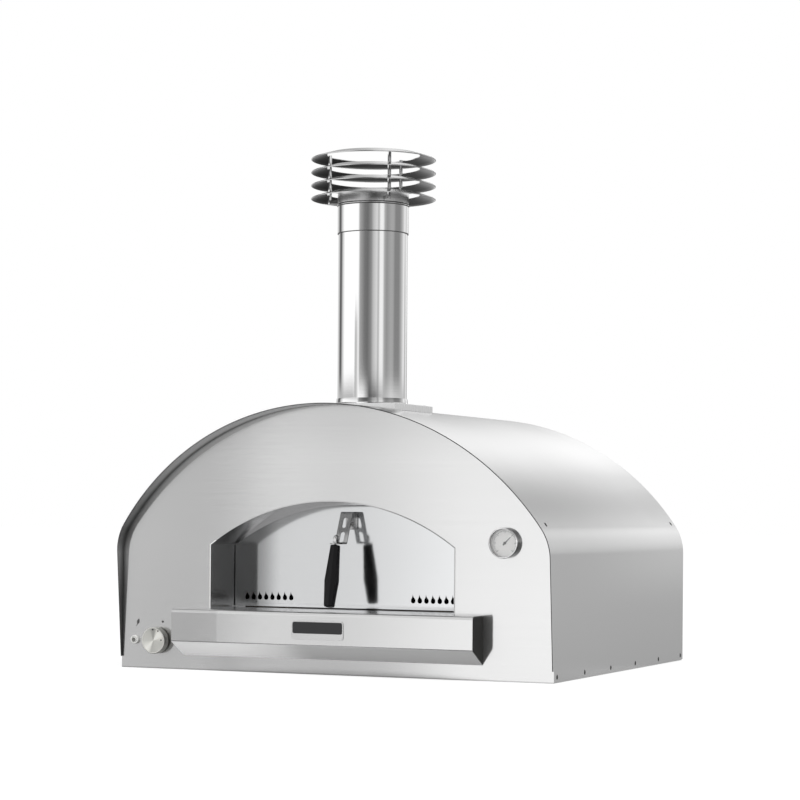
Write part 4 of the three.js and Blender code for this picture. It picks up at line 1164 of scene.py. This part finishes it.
bezel_profile = lifted([
    (0.0285, 0.0129), (0.0286, 0.0141), (0.0291, 0.0145), (0.0303, 0.0144), (0.0311, 0.0138),
    (0.0315, 0.0125), (0.0315, 0.0015), (0.0313, 0.0003), (0.0300, 0.0003), (0.0300, 0.0129),
], -front_face)
bezel_mesh = turned_mesh(bezel_profile, 96, on_the_front(gauge_x, gauge_z), closed=True)
bezel_finish = polished_steel("bezel_steel", 0.82, 0.10)
finish_mesh("gauge_bezel", bezel_mesh, bezel_finish, "oven", ["thermometer_bezel"], sharp=30)


def dial_finish():
    """Pale enamel with printed ticks, drawn by angle and radius about the dial's middle, with a painted glow
    of its own.
    """
    material, finish, place = new_material("dial_enamel")
    right, up, radius = about(finish, place, gauge_x, gauge_z)
    angle = right.maths("ARCTAN2", up) * degrees

    def ticks(every, width):
        step = ((angle + 180) / every).maths("FRACT")
        return (step < width) + (step > 1 - width)

    def between(low, high):
        return (radius > low) * (radius < high)

    marks = ticks(9, 0.11) * between(0.0225, 0.0250) + ticks(45, 0.035) * between(0.0200, 0.0250)
    on_scale = angle.maths("ABSOLUTE") < 136.5
    ink = (on_scale * (marks + between(0.0249, 0.0253))).maths("MINIMUM", 1.0)
    grain = finish.noise(place, 900)
    paper = finish.blend(grain, (0.86, 0.87, 0.86), (0.92, 0.93, 0.92))
    colour = finish.blend(ink, paper, (0.26, 0.28, 0.28))
    glow = {"Emission Color": colour, "Emission Strength": 0.2}
    finish.surface(colour, 0.3, 0.45 + (grain - 0.5) * 0.1, glow)
    return material


dress(["thermometer_dial"], dial_finish())
dress(["thermometer_needle"], plain_paint("needle_lacquer", (0.20, 0.21, 0.21), 0.4, scale=600))
glass_material, glass, place = new_material("gauge_glass")
clear = glass.node("ShaderNodeBsdfTransparent", {}, {"Color": (0.99, 0.985, 0.985)}).outputs[0]
shine = glass.principled((0.95, 0.95, 0.95), 0.0, 0.03 + glass.noise(place, 120) * 0.03)
edge_on = Field(glass, glass.node("ShaderNodeFresnel", {}, {"IOR": 1.45}).outputs[0])
glass.output(glass.mix(edge_on * 0.9 + 0.03, clear, shine))
dress(["thermometer_lens"], glass_material)


# Gas knob: a turned metal knob. Its face is brushed in circles and carries painted highlights:
# light and dark fans painted by angle, with a faint glow of its own. It has three small dots.
knob_profile = lifted([
    (0.0, 0.0210), (0.010, 0.0211), (0.020, 0.0214), (0.0252, 0.0217), (0.0258, 0.0219),
    (0.0272, 0.0220), (0.0280, 0.0216), (0.0285, 0.0207), (0.0285, 0.0130), (0.0280, 0.0126),
    (0.0280, 0.0116), (0.0285, 0.0112), (0.0285, 0.0056), (0.0280, 0.0050), (0.0255, 0.0050),
    (0.0255, 0.0190), (0.0, 0.0190),
], -front_face)


def knob_face_finish():
    """Painted highlights: fans of light and dark by angle, with a faint glow of its own; faint brushed rings
    by radius, and three dots.
    """
    material, finish, place = new_material("knob_face")
    right, up, radius = about(finish, place, knob_x, knob_z)
    angle = up.maths("ARCTAN2", right) * degrees
    fans = finish.ramp((angle + 180) / 360, [
        ((place + 180) / 360, (level, level * 0.995, level * 0.94)) for place, level in (
            (-180, 0.62), (-160, 0.74), (-132, 0.92), (-116, 0.80), (-102, 0.50), (-60, 0.58),
            (-12, 0.60), (8, 0.70), (30, 0.95), (52, 0.97), (68, 0.74), (82, 0.40), (98, 0.40),
            (115, 0.58), (150, 0.61), (180, 0.62),
        )
    ])
    rings = finish.noise(finish.vector(radius * 2600, angle * 0.01), 1.0, 2.0, 0.6)
    ink = 0.0
    for x, z, size in ((-0.0010, 0.0236, 0.0021), (0.0118, 0.0205, 0.0016), (0.0195, 0.0012, 0.0016)):
        away = ((right - x) * (right - x) + (up - z) * (up - z)) ** 0.5
        ink = ink + (1 - away.rise(size * 0.8, size * 1.2))
    colour = finish.blend(ink, finish.scaled(fans, 1 + (rings - 0.5) * 0.12), (0.02, 0.02, 0.02))
    finish.surface(colour, 0.75 * (1 - ink), 0.42 + (rings - 0.5) * 0.08, {
        "Emission Color": colour,
        "Emission Strength": 0.15,
        "Normal": finish.bump(rings, 0.04, 0.0003),
    })
    return material


def on_knob_face(face):
    from_middle = math.hypot(face.center.x - knob_x, face.center.z - knob_z)
    return face.normal.y < -0.9 and from_middle < 0.0255


knob_finish = brushed_steel("knob_steel", 0.96, 0.5, streaks=0.25, tint=(1.0, 0.995, 0.95))
knob_mesh = turned_mesh(knob_profile, 144, on_the_front(knob_x, knob_z))
knob_piece = finish_mesh("knob_cap", knob_mesh, knob_finish, "knob", ["gas_knob"], sharp=30)
second_finish(knob_piece, knob_face_finish(), on_knob_face)


# Igniter: a short steel tube fixed in the front panel beside the gas knob. A dark moulded button
# with a pale rim is pushed into it.
igniter_turn = on_the_front(igniter_x, knob_z)
tube_profile = lifted([
    (0.0063, 0.0058), (0.0066, 0.0066), (0.0074, 0.0070), (0.0084, 0.0069), (0.0092, 0.0063),
    (0.0095, 0.0054), (0.0095, 0.0003), (0.0063, 0.0003),
], -front_face)
tube_mesh = turned_mesh(tube_profile, 64, igniter_turn, closed=True)
tube_finish = plain_paint("igniter_ring_steel", (0.98, 0.98, 0.96), 0.5, metallic=0.2)
finish_mesh("igniter_ring", tube_mesh, tube_finish, "oven", ["igniter_collar"], sharp=25)
button_profile = lifted([
    (0.0, 0.0072), (0.0022, 0.0072), (0.0027, 0.0079), (0.0046, 0.0078), (0.0056, 0.0071),
    (0.0060, 0.0060), (0.0060, -0.007), (0.0, -0.007),
], -front_face)
button_mesh = turned_mesh(button_profile, 48, igniter_turn)
button_finish = plain_paint("button_moulding", (0.20, 0.20, 0.19), 0.35, speck=0.15, bump_height=0.05)
button_piece = finish_mesh(
    "igniter_push", button_mesh, button_finish, "button", ["igniter_button"], sharp=30
)


def on_button_rim(face):
    from_middle = math.hypot(face.center.x - igniter_x, face.center.z - knob_z)
    return face.center.y < front_face - 0.0055 and from_middle > 0.0048


second_finish(button_piece, tube_finish, on_button_rim)


# Screws: sunk heads along the shell's foot and at its shoulders, and proud ones on the rear panel,
# the flue's plate and the handle's tab. Each row is points with a direction, and one head on each.
head_radius = 0.0045
low_head = 0.0020
tall_head = 0.0024
sunk_depth = 0.0022
plate_screw_reach = 0.086


def screw_rows(name, spots, material, body, head_height):
    """Screw heads at spots, each a place and the way it faces, made by one node tree."""
    mesh = bpy.data.meshes.new(name)
    mesh.from_pydata([place for place, _ in spots], [], [])
    ways = mesh.attributes.new("facing", "FLOAT_VECTOR", "POINT")
    for i, (_, way) in enumerate(spots):
        ways.data[i].vector = Vector(way).to_track_quat("Z", "Y").to_euler()
    tree = bpy.data.node_groups.new(name, "GeometryNodeTree")
    sockets = {}
    for label, way, kind in (
        ("Geometry", "INPUT", "Geometry"), ("Head radius", "INPUT", "Float"),
        ("Head height", "INPUT", "Float"), ("Geometry", "OUTPUT", "Geometry"),
    ):
        sockets[label] = tree.interface.new_socket(label, in_out=way, socket_type=f"NodeSocket{kind}")
    shape = Finish(tree)
    source = shape.node("NodeGroupInput").outputs
    radius = Field(shape, source["Head radius"])
    height = Field(shape, source["Head height"])

    def disc(kind, lift, values):
        made = shape.node(f"GeometryNodeMesh{kind}", {}, values)
        values = {"Geometry": made.outputs["Mesh"], "Translation": shape.vector(0, 0, height * lift)}
        return shape.node("GeometryNodeTransform", {}, values).outputs[0]

    def joined(*parts):
        made = shape.node("GeometryNodeJoinGeometry")
        for part in parts:
            tree.links.new(part, made.inputs[0])
        return made.outputs[0]

    def painted(part, paint):
        return shape.node("GeometryNodeSetMaterial", {}, {"Geometry": part, "Material": paint}).outputs[0]

    rim = disc("Cylinder", 0.25, {"Vertices": 32, "Radius": radius, "Depth": height * 0.5})
    dome = disc(
        "Cone", 0.5,
        {"Vertices": 32, "Radius Top": radius * 0.62, "Radius Bottom": radius, "Depth": height * 0.5},
    )
    recess = disc("Cylinder", 1.01, {"Vertices": 6, "Radius": radius * 0.42, "Depth": height * 0.06})
    head = joined(painted(joined(rim, dome), material), painted(recess, socket_painted_shade))
    facing = shape.node("GeometryNodeInputNamedAttribute", {"data_type": "FLOAT_VECTOR"}, {"Name": "facing"})
    spin = shape.node("FunctionNodeEulerToRotation", {}, {0: facing.outputs[0]})
    values = {"Points": source["Geometry"], "Instance": head, "Rotation": spin.outputs[0]}
    copies = shape.node("GeometryNodeInstanceOnPoints", {}, values)
    real = shape.node("GeometryNodeRealizeInstances", {}, {0: copies.outputs[0]})
    shape.node("NodeGroupOutput", {}, {0: real.outputs[0]})
    holder = link(bpy.data.objects.new(name, mesh))
    modifier = holder.modifiers.new(name, "NODES")
    modifier.node_group = tree
    modifier[sockets["Head radius"].identifier] = head_radius
    modifier[sockets["Head height"].identifier] = head_height
    made = evaluated(holder)
    bpy.data.node_groups.remove(tree)
    made.shade_smooth()
    made.set_sharp_from_angle(angle=math.radians(30))
    piece = link(bpy.data.objects.new(name, made))
    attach(piece, body)
    return piece


# Painted shade: a thin dark hexagon on each screw head stands in for the shade in its socket.
socket_painted_shade = plain_paint("screw_socket_painted_shade", (0.05, 0.05, 0.05), 0.6, metallic=0.6, speck=0.2)
screw_finish = plain_paint("screw_zinc", (0.52, 0.52, 0.51), 0.30, metallic=1.0, bump_height=0.03)
sunk_finish = plain_paint("screw_sunk", (0.16, 0.16, 0.155), 0.34, metallic=0.9, bump_height=0.03)
sunk_spots = [(spot - way * sunk_depth, way) for spot, way in casing_spots]
screw_rows("casing_screws", sunk_spots, sunk_finish, "oven", low_head)
rear_spots = []
for x, z in ((0.46, 0.06), (0.46, 0.22), (0.40, 0.36), (0.24, 0.47), (0.0, 0.52)):
    for side in ((1, -1) if x else (1,)):
        rear_spots.append(((side * x, rear_face, z), (0, 1, 0)))
screw_rows("rear_screws", rear_spots, screw_finish, "oven", tall_head)
plate_spots = [
    ((sx * plate_screw_reach, flue_y + sy * plate_screw_reach, plate_top), (0, 0, 1))
    for sx in (1, -1) for sy in (1, -1)
]
screw_rows("plate_screws", plate_spots, screw_finish, "oven", low_head)
tab_spot = (0, bracket_back - strip, bracket_top - tab_length * 0.7)
tab_screw = screw_rows("tab_screw", [(tab_spot, (0, -1, 0))], screw_finish, "door", tall_head)
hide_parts("door_bracket_screw")


# Panel marks: a dot over the knob and a small spark over the igniter. They are printed on the panel
# in dark ink, and drawn as thin flat pieces just clear of it.
mark_ink = plain_paint("mark_ink", (0.10, 0.10, 0.10), 0.6, speck=0.2)
spark = [
    (-0.4574, 0.1064), (-0.4618, 0.1030), (-0.4634, 0.0982), (-0.4620, 0.0958), (-0.4656, 0.0890),
    (-0.4596, 0.0950), (-0.4572, 0.0972), (-0.4562, 0.1012),
]
for name, outline in (("knob_mark", circle(-0.3985, 0.101, 0.0026, 24)), ("igniter_mark", spark)):
    mark_mesh = plate_mesh(outline, [], front_face - 0.00015, front_face - 0.00002)
    finish_mesh(name, mark_mesh, mark_ink, "oven")


# Gas inlet: a turned brass fitting through the rear panel, with a hexagon for the spanner and a
# threaded end for the hose. The valve, its spindle and the pipes inside the case are brass too.
inlet_x = -0.4804
inlet_turn = Matrix.Translation((inlet_x, 0, knob_z)) @ Matrix.Rotation(math.radians(-90), 4, "X")
thread = []
for i in range(9):
    thread += [(0.0098, 0.0105 + i * 0.0018), (0.0108, 0.0114 + i * 0.0018)]
inlet_profile = lifted([
    (0.005, -0.022), (0.0098, -0.022), (0.0098, 0.0004), (0.0110, 0.0008), (0.0110, 0.0084),
    (0.0104, 0.0090), (0.0098, 0.0092), *thread, (0.0098, 0.0270), (0.0090, 0.028), (0.005, 0.028),
], rear_face)
hexagon = many_sided(6, 0.885, rear_face + 0.0006, rear_face + 0.0086)
inlet_mesh = turned_mesh(inlet_profile, 60, inlet_turn, hexagon, closed=True)


def brass_metal(name, colour, roughness):
    material, finish, place = new_material(name)
    grain = finish.noise(place, 700, 3.0, 0.6)
    stain = finish.noise(place, 40, 3.0, 0.6)
    shade = finish.blend(stain.rise(0.35, 0.75), colour, tuple(c * 0.72 for c in colour))
    bump = finish.bump(grain, 0.08, 0.0004)
    finish.surface(shade, 1.0, roughness + (grain - 0.5) * 0.1, {"Normal": bump})
    return material


brass = brass_metal("brass_fitting", (0.72, 0.53, 0.24), 0.28)
finish_mesh("inlet_fitting", inlet_mesh, brass, "oven", ["gas_inlet"], sharp=25)
dress(["gas_valve_body", "valve_spindle", "gas_supply_pipe", "burner_feed_pipe"], brass)


# Inner metal: walls, vault, sill, burner and spigot are plain sheet, seen only past the door or
# down the flue. They keep their own solids and take a rolled-sheet finish.
def rolled_steel(name, tone, roughness, heat=0.0):
    """Plain rolled sheet, read from the object's own place, with a straw tint where it gets hot."""
    material, finish, place = new_material(name)
    x, y, z = finish.parts(place)
    lines = finish.noise(finish.vector(x * 12, y * 500, z * 500), 1.0, 2.0, 0.6)
    broad = finish.noise(place, 5.0, 3.0, 0.55)
    cold = (tone, tone, tone * 1.01)
    straw = (tone * 0.92, tone * 0.78, tone * 0.55)
    colour = finish.blend(broad.rise(0.40, 0.70) * heat, cold, straw)
    rough = roughness + (lines - 0.5) * 0.12 + (broad - 0.5) * 0.10
    finish.surface(colour, 1.0, rough, {"Normal": finish.bump(lines, 0.06, 0.0004)})
    return material


dress(["rear_panel", "base_tray"], rolled_steel("casing_sheet", 0.72, 0.30))
dress(["mouth_sill"], rolled_steel("sill_sheet", 0.80, 0.22))
hot_pieces = [
    "chamber_vault", "chamber_rear_wall", "burner_tube", "burner_saddle_front", "burner_saddle_rear",
    "flue_spigot",
]
dress(hot_pieces, rolled_steel("hot_sheet", 0.55, 0.36, heat=0.8))
dress(["chamber_front_wall"], rolled_steel("bright_sheet", 0.82, 0.13))
dress(["thermometer_case", "thermometer_stem", "valve_pusher"], rolled_steel("plain_sheet", 0.66, 0.30))


# Hearth and insulation: cordierite tiles on a fibre board, and white blanket round the chamber.
# The ignition's electrode is glazed, and its lead and piezo body are black.
def stone_finish(name, light, dark, scale, roughness, pits):
    material, finish, place = new_material(name)
    speckle = finish.noise(place, scale, 4.0, 0.7)
    broad = finish.noise(place, scale / 30, 3.0, 0.6)
    holes = finish.node("ShaderNodeTexVoronoi", {}, {"Vector": place, "Scale": scale * 0.6})
    pit = (1 - Field(finish, holes.outputs["Distance"]).rise(0.10, 0.30)) * pits
    tone = finish.blend(speckle * 0.6 + broad * 0.4, dark, light)
    colour = finish.blend(pit, tone, tuple(c * 0.45 for c in dark))
    bump = finish.bump(speckle - pit, 0.35, 0.001)
    finish.surface(colour, 0.0, roughness + (speckle - 0.5) * 0.1, {"Normal": bump})
    return material


tile_finish = stone_finish("hearth_stone", (0.66, 0.55, 0.42), (0.46, 0.36, 0.27), 260, 0.88, 0.6)
dress([f"hearth_tile_{row}_{side}" for row in ("front", "rear") for side in ("left", "right")], tile_finish)
fibre_finish = stone_finish("fibre_blanket", (0.86, 0.84, 0.79), (0.74, 0.71, 0.65), 120, 0.95, 0.15)
dress(["floor_board", "sill_board", "vault_blanket", "rear_blanket", "front_blanket"], fibre_finish)
glaze = plain_paint("electrode_glaze", (0.82, 0.80, 0.75), 0.25, speck=0.08, scale=500, coat=0.4)
dress(["ignition_electrode"], glaze)
lead_finish = plain_paint("lead_sleeve", (0.02, 0.02, 0.02), 0.5, speck=0.2, bump_height=0.1, scale=1200)
dress(["ignition_lead", "piezo_body"], lead_finish)
